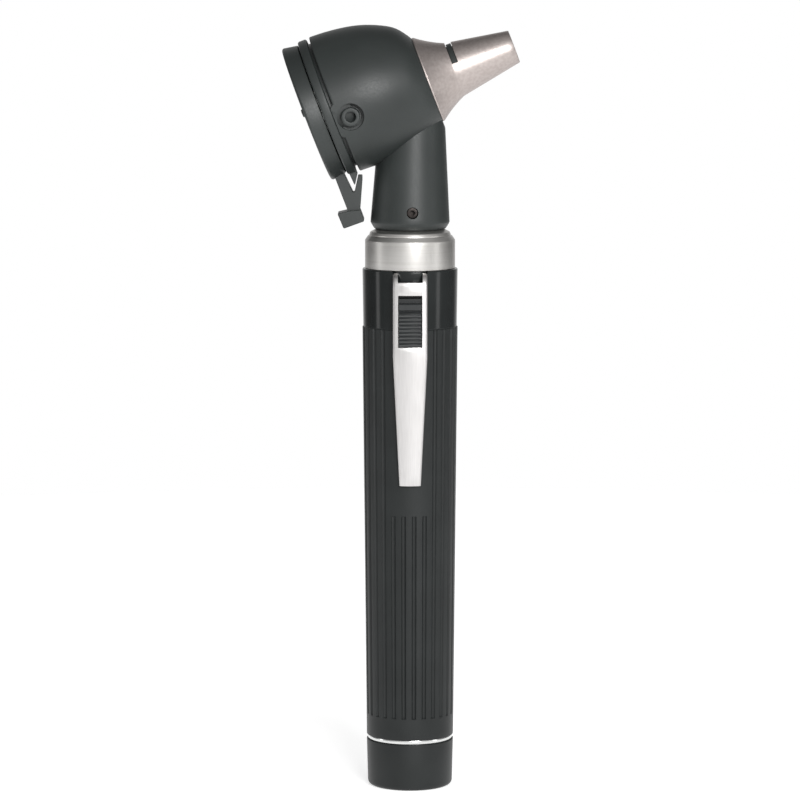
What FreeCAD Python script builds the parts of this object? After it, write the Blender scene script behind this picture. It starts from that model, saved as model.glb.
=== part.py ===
import FreeCAD, Part
import math
import os

V = FreeCAD.Vector
CENTRE = V(0, 0, 0)
UP = V(0, 0, 1)
SIGHT = V(1, 0, 0)
SIDEWAYS = V(0, 1, 0)

# Sizes are in millimetres. The origin is the centre of the end cap's flat underside.
# +Z runs up the handle, +X towards the tip of the cone, and -Y towards the pocket clip.

# Battery cells, which set the handle's bore and length
CELL_R = 7.25
CELL_LEN = 50.5
CELL_COUNT = 2
CELL_NUB_R = 2.75
CELL_NUB_LEN = 1.2
CELL_EDGE_R = 0.5
CELL_PLAY = 0.35
CELL_FOOT_Z = 8.6

# The bore of the handle, which the handle's other radii follow
TUBE_BORE_R = CELL_R + CELL_PLAY
SOCKET_WALL = 0.7
SOCKET_R = TUBE_BORE_R + SOCKET_WALL

# How far a cut runs past the skin that it opens
PAST = 1.0

# End cap and the metal insert that it screws on
CAP_H = 9.95
CAP_TOP_R = TUBE_BORE_R + 1.52
CAP_FOOT_R = CAP_TOP_R - 0.25
CAP_WALL = 0.97
CAP_FLOOR = 2.0
CAP_EDGE_R = 1.0
THREAD_PLAY = 0.1
INSERT_FLANGE_Z = 10.0
INSERT_FLANGE_H = 0.8
INSERT_FLANGE_R = TUBE_BORE_R + 1.3
INSERT_STUB_Z = 4.6
INSERT_SLEEVE_LEN = 9.2

# Battery spring and the plate that carries it
PLATE_H = 0.5
PLATE_R = TUBE_BORE_R - 0.4
PLATE_DISH_R = PLATE_R / 3
SPRING_WIRE_R = 0.35
SPRING_FOOT_R = PLATE_R - 1.0
SPRING_TOP_R = SPRING_FOOT_R - 1.8
SPRING_TURNS = 3.5
SPRING_STRAIGHT = 2 * SPRING_WIRE_R
SPRING_END_FALL = 0.027
SPRING_END_RISE = 0.04

# Handle tube, its ribs and the smooth band above them
TUBE_FOOT_R = CAP_TOP_R
TUBE_RIB_TOP_R = TUBE_BORE_R + 2.35
TUBE_BAND_FOOT_R = TUBE_RIB_TOP_R - 0.17
TUBE_BAND_TOP_R = TUBE_RIB_TOP_R
TUBE_EDGE_R = 0.3
BAND_H = 12.3
GROOVE_COUNT = 27
GROOVE_FIRST_DEG = 5.1
GROOVE_R = 0.5
GROOVE_DEPTH = 0.38
GROOVE_FOOT_RISE = 4.6
PANEL_HALF_DEG = 28.0
PANEL_FOOT_DROP = 51.2

# Bayonet between the neck's insert and the collar
BAYONET_R = TUBE_BORE_R - 1.4
BAYONET_PLAY = 0.05
LUG_R = BAYONET_R + 0.75
LUG_H = 1.4
LUG_PLAY = 0.1
LUG_COUNT = 3
LUG_DEG = 34.0
ENTRY_TURN_DEG = 40.0
ENTRY_PLAY_DEG = 2.0
INSERT_TOP_RISE = 6.2
INSERT_BORE_R = 3.15
NECK_SOCKET_R = BAYONET_R - 0.6

# Aluminium collar at the head of the handle
COLLAR_R = TUBE_BORE_R + 1.8
COLLAR_BAND_H = 5.9
COLLAR_TOP_R = BAYONET_R + 0.9
COLLAR_H = 8.2
COLLAR_STEP_H = 6.8
COLLAR_STEP_R = COLLAR_R - 0.65
COLLAR_STEP_DEPTH = 0.25
COLLAR_SPIGOT_LEN = 5.6
LIP_H = 3.9

# Pocket clip, stamped from sheet, and its window
CLIP_SHEET = 0.6
CLIP_TOP_HALF = 3.6
CLIP_END_HALF = 2.25
CLIP_FACE = TUBE_BORE_R + 4.65
CLIP_END_FACE = CLIP_FACE - 1.3
CLIP_EDGE = CLIP_FACE - 2.5
CLIP_END_EDGE = CLIP_EDGE + 0.35
CLIP_CROWN = 0.35
CLIP_SHOULDER_R = 2.3
CLIP_SHOULDER_DEGS = (25, 45, 62, 75)
CLIP_SHOULDER_DROP = 3.0
CLIP_BEND_DROP = 17.6
CLIP_END_DROP = 44.6
CLIP_SLOT_HALF = 2.6
CLIP_SLOT_DROP = 2.1
CLIP_TAB_H = 0.55
CLIP_TAB_REACH = SOCKET_R + 0.25
CLIP_DIMPLE_R = 0.9

# Switch slider in the window
SLIDER_HALF = 2.35
SLIDER_H = 9.0
SLIDER_TRAVEL = 1.5
SLIDER_FACE = CLIP_FACE + 0.5
SLIDER_BAR_H = 1.4
SLIDER_DISH = 0.45
SLIDER_RIB_COUNT = 9
SLIDER_RIB_DEPTH = 0.25
SLIDER_RIB_SPAN = 0.75
SLIDER_RIB_RUNOUT = 0.05
SLIDER_BASE_HALF = 2.75
SLIDER_BASE_OVER = 0.9
SLIDER_PLAY = 0.1
WINDOW_HALF = 2.5
WINDOW_FOOT_PLAY = 0.2
WINDOW_H = WINDOW_FOOT_PLAY + SLIDER_H + SLIDER_TRAVEL + SLIDER_PLAY
WINDOW_TOP_DROP = 4.8
STEM_HALF = 1.1
STEM_H = 2.8
STEM_RISE = 3.7
LEAF_DROP = 2.24
FLAT_Y = TUBE_BORE_R + 1.9
FLAT_HALF = 3.2
STRIP_T = 0.25
STRIP_HALF = 1.2
STRIP_CHANNEL_HALF = 1.6
STRIP_CHANNEL_R = SOCKET_R + 0.15

# Top contact between the cells and the lamp
HOLDER_RISE = 0.3
HOLDER_H = 1.4
HOLDER_RIDGE_R = 3.7
HOLDER_RIDGE_W = 1.0
HOLDER_RIDGE_H = 0.4
PIN_R = 1.0
PIN_HEAD_R = 1.7
PIN_HEAD_H = 0.5
PIN_POINT_H = 0.75
PIN_SEAT_GAP = 0.01
CONTACT_GAP = 0.05

# Neck of the head
NECK_FOOT_R = BAYONET_R + 1.2
NECK_R = NECK_FOOT_R + 0.85
NECK_CHAMFER_H = 1.5
NECK_TOP_R = NECK_R - 1.5
NECK_LEAN = 0.45
NECK_H = 24.0
NECK_GAP = 0.05
LAMP_CHAMBER_R = 3.6
SET_SCREW_R = 1.2
SET_SCREW_INSET = 0.6
SET_SCREW_SINK = 0.65
SET_SCREW_SOCKET_R = 0.5
SET_SCREW_SOCKET_DEPTH = 1.5
SET_SCREW_RISE = 3.7
SET_SCREW_TURN_DEG = 3.5

# Lamp and light guide
LAMP_TIP_R = 1.2
LAMP_TIP_FOOT_R = 0.96
LAMP_TIP_H = 0.6
LAMP_BASE_H = 9.6
LAMP_FLANGE_R = 3.5
LAMP_FLANGE_H = 0.8
LAMP_GLASS_R = 2.5
LAMP_GLASS_H = 6.2
GUIDE_GAP = 0.3
GUIDE_R = 1.2
GUIDE_RISE = 6.3
GUIDE_BEND_R = 4.0
GUIDE_BEND_DEG = 58.0
GUIDE_REACH = 6.5

# Head barrel. Its sizes run along the line of sight from the rear face of the lens frame.
TILT_DEG = 21.0
BARREL_FRONT_X = 2.773
BARREL_FRONT_RISE = 33.018
BARREL_R = 14.85
BARREL_LEN = 19.8
BARREL_WALL = 1.6
BARREL_REAR_WALL = 1.35
BARREL_FRONT_WALL = 2.4
BARREL_LEAD_IN = 0.1
# Each row is a share of the length, then the rise above and the drop below the sight line
BARREL_STATIONS = (
    (0.0, 0.997, 1.0),
    (0.32, 0.965, 1.007),
    (0.57, 0.892, 0.963),
    (0.775, 0.775, 0.892),
    (0.915, 0.633, 0.825),
    (1.0, 0.471, 0.768),
)
BORE_LEN = 3.4

# Insufflation port on the near side of the barrel
PORT_INSET = 2.55
PORT_DROP = 3.1
PORT_BOSS_R = 4.4
PORT_BOSS_PLAY = 0.05
PORT_FACE_Y = BARREL_R - 0.15
PORT_FLOOR_Y = PORT_FACE_Y - 2.0
PORT_BACK_Y = PORT_FLOOR_Y - 2.1
PORT_RECESS_R = 2.8
NIPPLE_R = 1.95
NIPPLE_SEAT_R = 2.2
NIPPLE_BORE_R = 1.08
NIPPLE_TIP_BEVEL = 0.25

# Rear ring, its groove and its catch tongue
RING_R = BARREL_R - 0.15
RING_H = 1.9
RING_BORE_R = RING_R - 3.8
RING_EDGE_R = 0.45
RING_SPIGOT_BORE_R = RING_R - 2.7
SPIGOT_PLAY = 0.02
GROOVE_W = 0.7
FRAME_GAP = 0.2
TONGUE_HALF = 2.0
TONGUE_GAP = 0.2
TONGUE_ROOT = 1.5
TONGUE_BACK = 0.2
TONGUE_TIP_BACK = 0.5

# Lens frame with its fork lever, and the pin on which it swings
FRAME_R = RING_R - 0.07
FRAME_FRONT_R = FRAME_R - 0.58
FRAME_T = 3.4
FRAME_EDGE_R = 0.5
FRAME_APERTURE_R = FRAME_R - 4.73
FRAME_LIP_T = 0.9
NIB_R = 0.85
NIB_H = 0.35
NIB_ROOT = 0.3
LEVER_HALF = 2.4
LEVER_ROOT = 1.2
LEG_BACK = 0.85
LEG_FRONT = FRAME_T - 0.45
# Each pair is the place ahead of the frame's rear face and the drop below the sight line
FORK_ROOT = (FRAME_T - 0.1, FRAME_R + 4.22)
FINGER_TOP_BACK = (FRAME_T + 2.1, FRAME_R + 0.87)
FINGER_TOP_FRONT = (FRAME_T + 2.9, FRAME_R + 1.23)
FINGER_SHOULDER = (FRAME_T + 2.55, FRAME_R + 2.17)
FOOT_HALF = 3.4
FOOT_BACK = -1.35
FOOT_FRONT = FRAME_T - 0.05
FOOT_TOP = FRAME_R + 6.97
FOOT_SLANT = 0.7
FOOT_LIFT = 0.3
FOOT_LEAN = 0.1
FOOT_END = FRAME_R + 10.17
PIVOT_RISE = FRAME_APERTURE_R + 2.5
PIVOT_R = 0.75
PIVOT_PLAY = 0.05
PIVOT_HEAD_R = 1.3
PIVOT_HEAD_T = 0.7

# Lens and the ring that holds it
LENS_R = FRAME_APERTURE_R + 0.6
LENS_PLAY = 0.05
LENS_EDGE_T = 1.2
LENS_BULGE = 1.15
RETAINER_W = 0.9
RETAINER_T = 1.0

# Cone that carries the specula
CONE_LEN = 19.3
CONE_TIP_R = 3.5
CONE_WALL = 0.75
CONE_RIM_T = 0.35
CONE_FLARE_LEN = 6.0
CONE_FLARE_R = 5.85
CONE_FLARE_HOLLOW = 0.25
CONE_SPIGOT_R = 7.3
CONE_SPIGOT_WALL = 0.8
CONE_LAND_LEN = 2.0
CONE_ROOT_LEN = 0.8
CONE_SLOT_W = 1.3
CONE_SLOT_HALF_DEG = 76.0

# Dark liner inside the cone, with a rib that fills the cone's cross slot from within
LINER_INSET = 0.6
LINER_FLANGE_T = 0.8
LINER_PLAY = 0.15
LINER_WALL = 0.5
LINER_SHOULDER_LEN = 2.6
LINER_LEN = 8.0
LINER_RIB_SINK = 0.45
LINER_RIB_PLAY = 0.1
LINER_RIB_PLAY_DEG = 1.0

# Heights and radii that follow from the sizes above
TUBE_Z = INSERT_FLANGE_Z + INSERT_FLANGE_H
TUBE_TOP = CELL_FOOT_Z + CELL_COUNT * CELL_LEN
BAND_Z = TUBE_TOP - BAND_H
COLLAR_TOP = TUBE_TOP + COLLAR_H
LIP_Z = COLLAR_TOP - LIP_H
HOLDER_Z = TUBE_TOP + HOLDER_RISE
PIN_TOP = HOLDER_Z + HOLDER_H + PIN_HEAD_H + PIN_POINT_H
INSERT_FOOT_Z = LIP_Z - LUG_H - LUG_PLAY
NECK_Z = COLLAR_TOP + NECK_GAP
LAMP_Z = PIN_TOP + CONTACT_GAP
GLASS_Z = LAMP_Z + LAMP_TIP_H + LAMP_BASE_H + LAMP_FLANGE_H
GUIDE_Z = GLASS_Z + LAMP_GLASS_H + LAMP_GLASS_R + GUIDE_GAP
WINDOW_TOP = TUBE_TOP - WINDOW_TOP_DROP
SLIDER_Z = WINDOW_TOP - WINDOW_H + WINDOW_FOOT_PLAY
STEM_Z = SLIDER_Z + STEM_RISE
RING_U = FRAME_T + FRAME_GAP
GROOVE_U = RING_U + RING_H
BARREL_U = GROOVE_U + GROOVE_W
BARREL_FRONT = BARREL_U + BARREL_LEN
TILT = math.radians(TILT_DEG)
FRONT_TO_EYE = V(-math.cos(TILT), 0, -math.sin(TILT)) * BARREL_FRONT
EYE = V(BARREL_FRONT_X, 0, COLLAR_TOP + BARREL_FRONT_RISE) + FRONT_TO_EYE
PORT_AHEAD = BARREL_U + PORT_INSET
SPIGOT_R = BARREL_R - BARREL_REAR_WALL
CONE_R = (BARREL_STATIONS[-1][1] + BARREL_STATIONS[-1][2]) / 2 * BARREL_R
CONE_DROP = (BARREL_STATIONS[-1][2] - BARREL_STATIONS[-1][1]) / 2 * BARREL_R
SEAT_R = LENS_R + LENS_PLAY


def block(x0, x1, y0, y1, z0, z1):
    """A box between two values along each axis."""
    return Part.makeBox(x1 - x0, y1 - y0, z1 - z0, V(x0, y0, z0))


def closed_face(steps):
    """A flat face inside a closed outline. A step of two points is an arc through the first."""
    here = steps[0]
    edges = []
    for step in list(steps[1:]) + [steps[0]]:
        if isinstance(step, tuple):
            edges.append(Part.Arc(here, step[0], step[1]).toShape())
            here = step[1]
        elif here.distanceToPoint(step) > 1e-6:
            edges.append(Part.LineSegment(here, step).toShape())
            here = step
    return Part.Face(Part.Wire(edges))


def turned(outline, axis):
    """A solid of revolution about the Z or the X axis through the origin.

    The outline holds (along, out) pairs. A pair of such pairs is an arc through the first.
    """
    def place(pair):
        return V(pair[1], 0, pair[0]) if axis == UP else V(pair[0], 0, pair[1])

    steps = []
    for item in outline:
        if isinstance(item[0], tuple):
            steps.append((place(item[0]), place(item[1])))
        else:
            steps.append(place(item))
    return closed_face(steps).revolve(CENTRE, axis, 360)


def tube(outer, inner, start, end, axis=UP):
    """A plain round tube or, with no inner radius, a rod."""
    solid = Part.makeCylinder(outer, end - start, axis * start, axis)
    if inner:
        solid = solid.cut(Part.makeCylinder(inner, end - start, axis * start, axis))
    return solid


def sector(radius, half_deg, middle_deg, z0, z1):
    """A pie slice about the Z axis, its middle measured from the front towards +X."""
    slice_solid = Part.makeCylinder(radius, z1 - z0, V(0, 0, z0), UP, 2 * half_deg)
    slice_solid.rotate(CENTRE, UP, middle_deg - 90 - half_deg)
    return slice_solid


def in_head(solid):
    """Moves a solid from the sight line's own frame to its place on the handle."""
    solid.rotate(CENTRE, SIDEWAYS, -TILT_DEG)
    solid.translate(EYE)
    return solid


def on_cone_axis(solid):
    """Moves a solid made about the origin onto the front face of the barrel."""
    solid.translate(V(BARREL_FRONT, 0, -CONE_DROP))
    return solid


def side_plate(outline, half):
    """A plate between the two sides, from (ahead, below) pairs in the sight line's frame."""
    face = closed_face([V(ahead, -half, -below) for ahead, below in outline])
    return face.extrude(V(0, 2 * half, 0))


def cell(foot):
    """One battery cell: a can with rounded ends and a raised nub."""
    can_top = CELL_LEN - CELL_NUB_LEN
    bend = CELL_EDGE_R * (1 - math.sqrt(0.5))
    solid = turned(
        [
            (0, 0),
            (0, CELL_R - CELL_EDGE_R),
            ((bend, CELL_R - bend), (CELL_EDGE_R, CELL_R)),
            (can_top - CELL_EDGE_R, CELL_R),
            ((can_top - bend, CELL_R - bend), (can_top, CELL_R - CELL_EDGE_R)),
            (can_top, CELL_NUB_R),
            (CELL_LEN, CELL_NUB_R),
            (CELL_LEN, 0),
        ],
        UP,
    )
    solid.translate(V(0, 0, foot))
    return solid


def end_cap():
    """The moulded cap, a plain cup with a rounded lower edge."""
    bend = CAP_EDGE_R * (1 - math.sqrt(0.5))
    inner = CAP_TOP_R - CAP_WALL
    return turned(
        [
            (0, 0),
            (0, CAP_FOOT_R - CAP_EDGE_R),
            ((bend, CAP_FOOT_R - bend), (CAP_EDGE_R, CAP_FOOT_R)),
            (CAP_H, CAP_TOP_R),
            (CAP_H, inner),
            (CAP_FLOOR, inner),
            (CAP_FLOOR, 0),
        ],
        UP,
    )


def spring_plate():
    """The pressed disc under the spring, with a shallow dish."""
    top = CAP_FLOOR + PLATE_H
    return tube(PLATE_R, 0, CAP_FLOOR, top).cut(tube(PLATE_DISH_R, 0, top - PLATE_H / 2, top))


def battery_spring():
    """A conical coil of round wire: one unbroken tube on arcs of a quarter turn."""
    foot = CAP_FLOOR + PLATE_H + SPRING_WIRE_R + SPRING_END_FALL
    climb = CELL_FOOT_Z - SPRING_WIRE_R - foot - CONTACT_GAP - SPRING_END_RISE
    steps = int(SPRING_TURNS * 4)

    def on_coil(turns):
        share = turns / SPRING_TURNS
        radius = SPRING_FOOT_R + (SPRING_TOP_R - SPRING_FOOT_R) * share
        angle = 2 * math.pi * turns
        return V(radius * math.cos(angle), radius * math.sin(angle), foot + climb * share)

    edges = []
    for step in range(steps):
        start = on_coil(step / 4)
        middle = on_coil((step + 0.5) / 4)
        end = on_coil((step + 1) / 4)
        edges.append(Part.Arc(start, middle, end).toShape())
    heading = edges[0].tangentAt(edges[0].FirstParameter)
    leaving = edges[-1].tangentAt(edges[-1].LastParameter)
    first = on_coil(0) - heading * SPRING_STRAIGHT
    last = on_coil(SPRING_TURNS) + leaving * SPRING_STRAIGHT
    lead_in = Part.LineSegment(first, on_coil(0)).toShape()
    lead_out = Part.LineSegment(on_coil(SPRING_TURNS), last).toShape()
    path = Part.Wire([lead_in] + edges + [lead_out])
    ring = Part.Wire(Part.makeCircle(SPRING_WIRE_R, first, heading))
    print("battery_spring least gap to itself", round(least_gap(on_coil), 3), "mm")
    return path.makePipeShell([ring], True, False)


def least_gap(on_coil):
    """The least clear space between one coil of the spring and the next, on 24 points a turn."""
    points = [on_coil(number / 24) for number in range(int(SPRING_TURNS * 24) + 1)]
    apart = []
    for number, point in enumerate(points):
        for other in points[number + 12:]:
            apart.append(point.distanceToPoint(other) - 2 * SPRING_WIRE_R)
    return min(apart)


def tube_insert():
    """The metal insert: a sleeve in the tube, a bright flange and a stub for the cap's thread."""
    stub_r = CAP_TOP_R - CAP_WALL - THREAD_PLAY
    return turned(
        [
            (INSERT_STUB_Z, TUBE_BORE_R),
            (INSERT_STUB_Z, stub_r),
            (INSERT_FLANGE_Z, stub_r),
            (INSERT_FLANGE_Z, INSERT_FLANGE_R),
            (TUBE_Z, INSERT_FLANGE_R),
            (TUBE_Z, SOCKET_R),
            (TUBE_Z + INSERT_SLEEVE_LEN, SOCKET_R),
            (TUBE_Z + INSERT_SLEEVE_LEN, TUBE_BORE_R),
        ],
        UP,
    )


def rib_groove(angle_deg, foot_z, top_z):
    """One half-round groove, leaning with the taper of the tube."""
    slope = (TUBE_RIB_TOP_R - TUBE_FOOT_R) / (BAND_Z - TUBE_Z)
    out = GROOVE_R - GROOVE_DEPTH

    def on_wall(z):
        radius = TUBE_FOOT_R + slope * (z - TUBE_Z) + out
        angle = math.radians(angle_deg)
        return V(radius * math.sin(angle), -radius * math.cos(angle), z)

    foot = on_wall(foot_z)
    run = on_wall(top_z) - foot
    return Part.makeCylinder(GROOVE_R, run.Length, foot, run)


def handle_tube():
    """The ribbed tube, with its bore, sockets, switch slot and the seats of the clip's tabs."""
    solid = turned(
        [
            (TUBE_Z, TUBE_BORE_R),
            (TUBE_Z, TUBE_FOOT_R),
            (BAND_Z, TUBE_RIB_TOP_R),
            (BAND_Z + TUBE_RIB_TOP_R - TUBE_BAND_FOOT_R, TUBE_BAND_FOOT_R),
            (TUBE_TOP - TUBE_EDGE_R, TUBE_BAND_TOP_R),
            (TUBE_TOP, TUBE_BAND_TOP_R - TUBE_EDGE_R),
            (TUBE_TOP, TUBE_BORE_R),
        ],
        UP,
    )
    solid = solid.cut(tube(SOCKET_R, 0, TUBE_Z, TUBE_Z + INSERT_SLEEVE_LEN))
    solid = solid.cut(tube(SOCKET_R, 0, TUBE_TOP - COLLAR_SPIGOT_LEN, TUBE_TOP))
    grooves = []
    pitch = 360.0 / GROOVE_COUNT
    for number in range(GROOVE_COUNT):
        angle = GROOVE_FIRST_DEG + pitch * number
        from_front = abs((angle + 180) % 360 - 180)
        behind_clip = from_front < PANEL_HALF_DEG
        top = TUBE_TOP - PANEL_FOOT_DROP if behind_clip else BAND_Z
        grooves.append(rib_groove(angle, TUBE_Z + GROOVE_FOOT_RISE, top))
    solid = solid.cut(grooves)
    wide = TUBE_RIB_TOP_R + PAST
    channel = block(-STRIP_CHANNEL_HALF, STRIP_CHANNEL_HALF, -STRIP_CHANNEL_R, 0, TUBE_Z, TUBE_TOP)
    slot_half = STEM_HALF + 2 * SLIDER_PLAY
    slot_top = STEM_Z + STEM_H + SLIDER_TRAVEL + 2 * SLIDER_PLAY
    slot = block(-slot_half, slot_half, -wide, 0, STEM_Z - 2 * SLIDER_PLAY, slot_top)
    flat_z0 = SLIDER_Z - SLIDER_BASE_OVER - 3 * SLIDER_PLAY
    flat_z1 = SLIDER_Z + SLIDER_H + SLIDER_BASE_OVER + SLIDER_TRAVEL + 3 * SLIDER_PLAY
    flat = block(-FLAT_HALF, FLAT_HALF, -wide, -FLAT_Y, flat_z0, flat_z1)
    solid = solid.cut([channel, slot, flat])
    for side in (-1, 1):
        x0, x1 = sorted((side * CLIP_SLOT_HALF, side * CLIP_TOP_HALF))
        solid = solid.cut(block(x0, x1, -wide, -CLIP_TAB_REACH, TUBE_TOP - CLIP_TAB_H, TUBE_TOP))
    return solid


def collar():
    """The turned collar: a spigot in the tube, a plain band, a stepped shoulder and a slotted lip."""
    band_top = TUBE_TOP + COLLAR_BAND_H
    step_z = TUBE_TOP + COLLAR_STEP_H
    step_in = COLLAR_STEP_R - COLLAR_STEP_DEPTH
    lip_r = BAYONET_R + BAYONET_PLAY
    solid = turned(
        [
            (TUBE_TOP - COLLAR_SPIGOT_LEN, TUBE_BORE_R),
            (TUBE_TOP - COLLAR_SPIGOT_LEN, SOCKET_R),
            (TUBE_TOP, SOCKET_R),
            (TUBE_TOP, COLLAR_R),
            (band_top, COLLAR_R),
            (step_z, COLLAR_STEP_R),
            (step_z, step_in),
            (step_z + COLLAR_STEP_DEPTH, step_in),
            ((step_z + COLLAR_STEP_DEPTH * 3, step_in - COLLAR_STEP_DEPTH), (COLLAR_TOP, COLLAR_TOP_R)),
            (COLLAR_TOP, lip_r),
            (LIP_Z, lip_r),
            (LIP_Z, TUBE_BORE_R),
        ],
        UP,
    )
    for number in range(LUG_COUNT):
        angle = number * 360.0 / LUG_COUNT + ENTRY_TURN_DEG
        half = LUG_DEG / 2 + ENTRY_PLAY_DEG
        entry = sector(LUG_R + BAYONET_PLAY, half, angle, LIP_Z, COLLAR_TOP + PAST)
        solid = solid.cut(entry)
    return solid


def arch(z, half, face, edge, crown):
    """A cross-section of the clip: two upright sides under a crowned face."""
    face_y = -face
    corner_y = face_y + crown
    return Part.Wire(
        [
            Part.LineSegment(V(-half, -edge, z), V(-half, corner_y, z)).toShape(),
            Part.Arc(V(-half, corner_y, z), V(0, face_y, z), V(half, corner_y, z)).toShape(),
            Part.LineSegment(V(half, corner_y, z), V(half, -edge, z)).toShape(),
            Part.LineSegment(V(half, -edge, z), V(-half, -edge, z)).toShape(),
        ]
    )


def clip_form(inset, end_z):
    """The clip's outer form or, with an inset, the hollow under its sheet."""
    bend_z = TUBE_TOP - CLIP_BEND_DROP
    shoulder_z = TUBE_TOP - CLIP_SHOULDER_DROP
    radius = CLIP_SHOULDER_R - inset
    edge = CLIP_EDGE - 2 * inset
    low_edge = CLIP_END_EDGE - 2 * inset
    slope = (CLIP_FACE - CLIP_END_FACE) / (CLIP_END_DROP - CLIP_BEND_DROP)
    end_face = CLIP_FACE - slope * (bend_z - end_z)
    top_half = CLIP_TOP_HALF - inset
    end_half = CLIP_END_HALF - inset
    sections = [
        arch(end_z, end_half, end_face - inset, low_edge, CLIP_CROWN),
        arch(bend_z, top_half, CLIP_FACE - inset, edge, CLIP_CROWN),
        arch(shoulder_z, top_half, CLIP_FACE - inset, edge, CLIP_CROWN),
    ]
    for angle_deg in CLIP_SHOULDER_DEGS:
        angle = math.radians(angle_deg)
        face = CLIP_FACE - CLIP_SHOULDER_R + radius * math.cos(angle)
        z = shoulder_z + radius * math.sin(angle)
        sections.append(arch(z, top_half, face, edge, CLIP_CROWN))
    return Part.makeLoft(sections, True, True)


def pocket_clip():
    """The stamped clip: a tapering channel with a window, two tabs beside a slot, and a dimple."""
    end_z = TUBE_TOP - CLIP_END_DROP
    solid = clip_form(0, end_z).cut(clip_form(CLIP_SHEET, end_z - CLIP_SHEET))
    window_z = WINDOW_TOP - WINDOW_H
    front = CLIP_FACE + PAST
    window = block(-WINDOW_HALF, WINDOW_HALF, -front, -CLIP_EDGE, window_z, WINDOW_TOP)
    slot_z = TUBE_TOP - CLIP_SLOT_DROP
    slot = block(-CLIP_SLOT_HALF, CLIP_SLOT_HALF, -front, 0, slot_z, TUBE_TOP + PAST)
    solid = solid.cut([window, slot])
    for side in (-1, 1):
        x0, x1 = sorted((side * CLIP_SLOT_HALF, side * CLIP_TOP_HALF))
        y0 = -(CLIP_FACE - CLIP_SHOULDER_R + CLIP_SHEET)
        tab = block(x0, x1, y0, -CLIP_TAB_REACH, TUBE_TOP - CLIP_TAB_H - CLIP_SHEET / 2, TUBE_TOP)
        keep_out = block(x0, x1, -CLIP_EDGE, 0, 0, TUBE_TOP - CLIP_TAB_H)
        solid = solid.fuse(tab.cut(keep_out))
    dimple_z = end_z + 3 * CLIP_DIMPLE_R
    dimple_y = -(CLIP_END_FACE - CLIP_SHEET / 2)
    dimple = Part.makeSphere(CLIP_DIMPLE_R, V(0, dimple_y, dimple_z))
    reach = 2 * CLIP_DIMPLE_R
    outside = block(-reach, reach, -front, dimple_y, dimple_z - reach, dimple_z + reach)
    return solid.fuse(dimple.cut(outside)).removeSplitter()


def switch_slider():
    """The ribbed thumb slider, with its base under the clip and its stem through the tube."""
    top = SLIDER_Z + SLIDER_H
    bar_z = top - SLIDER_BAR_H
    dish_z = bar_z - SLIDER_BAR_H / 2
    face = -SLIDER_FACE
    rib_pitch = (dish_z - SLIDER_Z) / SLIDER_RIB_COUNT
    inner = -(CLIP_FACE - CLIP_SHEET - CLIP_CROWN)
    outline = [V(-SLIDER_HALF, inner, SLIDER_Z), V(-SLIDER_HALF, face, SLIDER_Z)]
    for number in range(SLIDER_RIB_COUNT):
        z = SLIDER_Z + number * rib_pitch
        outline.append(V(-SLIDER_HALF, face, z + rib_pitch / 2))
        outline.append(V(-SLIDER_HALF, face + SLIDER_RIB_DEPTH, z + rib_pitch * SLIDER_RIB_SPAN))
        outline.append(V(-SLIDER_HALF, face + SLIDER_RIB_RUNOUT, z + rib_pitch))
    outline.append(V(-SLIDER_HALF, face + SLIDER_DISH, dish_z + SLIDER_RIB_DEPTH))
    outline.append(V(-SLIDER_HALF, face + SLIDER_DISH, bar_z - SLIDER_RIB_DEPTH / 2))
    outline.append(V(-SLIDER_HALF, face, bar_z))
    outline.append(V(-SLIDER_HALF, face, top))
    outline.append(V(-SLIDER_HALF, inner, top))
    button = closed_face(outline).extrude(V(2 * SLIDER_HALF, 0, 0))
    base_y = -(FLAT_Y + SLIDER_PLAY / 2)
    under_clip = inner + SLIDER_PLAY + CLIP_CROWN / 2
    base_z0 = SLIDER_Z - SLIDER_BASE_OVER
    base_z1 = top + SLIDER_BASE_OVER
    base = block(-SLIDER_BASE_HALF, SLIDER_BASE_HALF, under_clip, base_y, base_z0, base_z1)
    riser = block(-SLIDER_HALF, SLIDER_HALF, inner, under_clip, SLIDER_Z, top)
    leaf_y = -(STRIP_CHANNEL_R - STRIP_T - SLIDER_PLAY / 2)
    stem = block(-STEM_HALF, STEM_HALF, base_y, leaf_y, STEM_Z, STEM_Z + STEM_H)
    return button.fuse([base, riser, stem]).removeSplitter()


def switch_contact():
    """The springy leaf on the slider's stem, which bridges the strip and the collar."""
    leaf_y = -(STRIP_CHANNEL_R - STRIP_T - SLIDER_PLAY / 2)
    z0 = STEM_Z - LEAF_DROP
    z1 = TUBE_TOP - COLLAR_SPIGOT_LEN - SLIDER_TRAVEL - SLIDER_PLAY
    return block(-STRIP_HALF, STRIP_HALF, leaf_y, leaf_y + STRIP_T, z0, z1)


def contact_strip():
    """The flat conductor in the tube's inner channel, from the insert up to the switch."""
    top = STEM_Z - 5 * SLIDER_PLAY
    foot = TUBE_Z + INSERT_SLEEVE_LEN
    y0 = -STRIP_CHANNEL_R
    return block(-STRIP_HALF, STRIP_HALF, y0, y0 + STRIP_T, foot, top)


def contact_holder():
    """The insulating disc above the upper cell, with a ridge round its contact pin."""
    top = HOLDER_Z + HOLDER_H
    disc = tube(TUBE_BORE_R, PIN_R, HOLDER_Z, top)
    return disc.fuse(tube(HOLDER_RIDGE_R, HOLDER_RIDGE_R - HOLDER_RIDGE_W, top, top + HOLDER_RIDGE_H))


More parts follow.
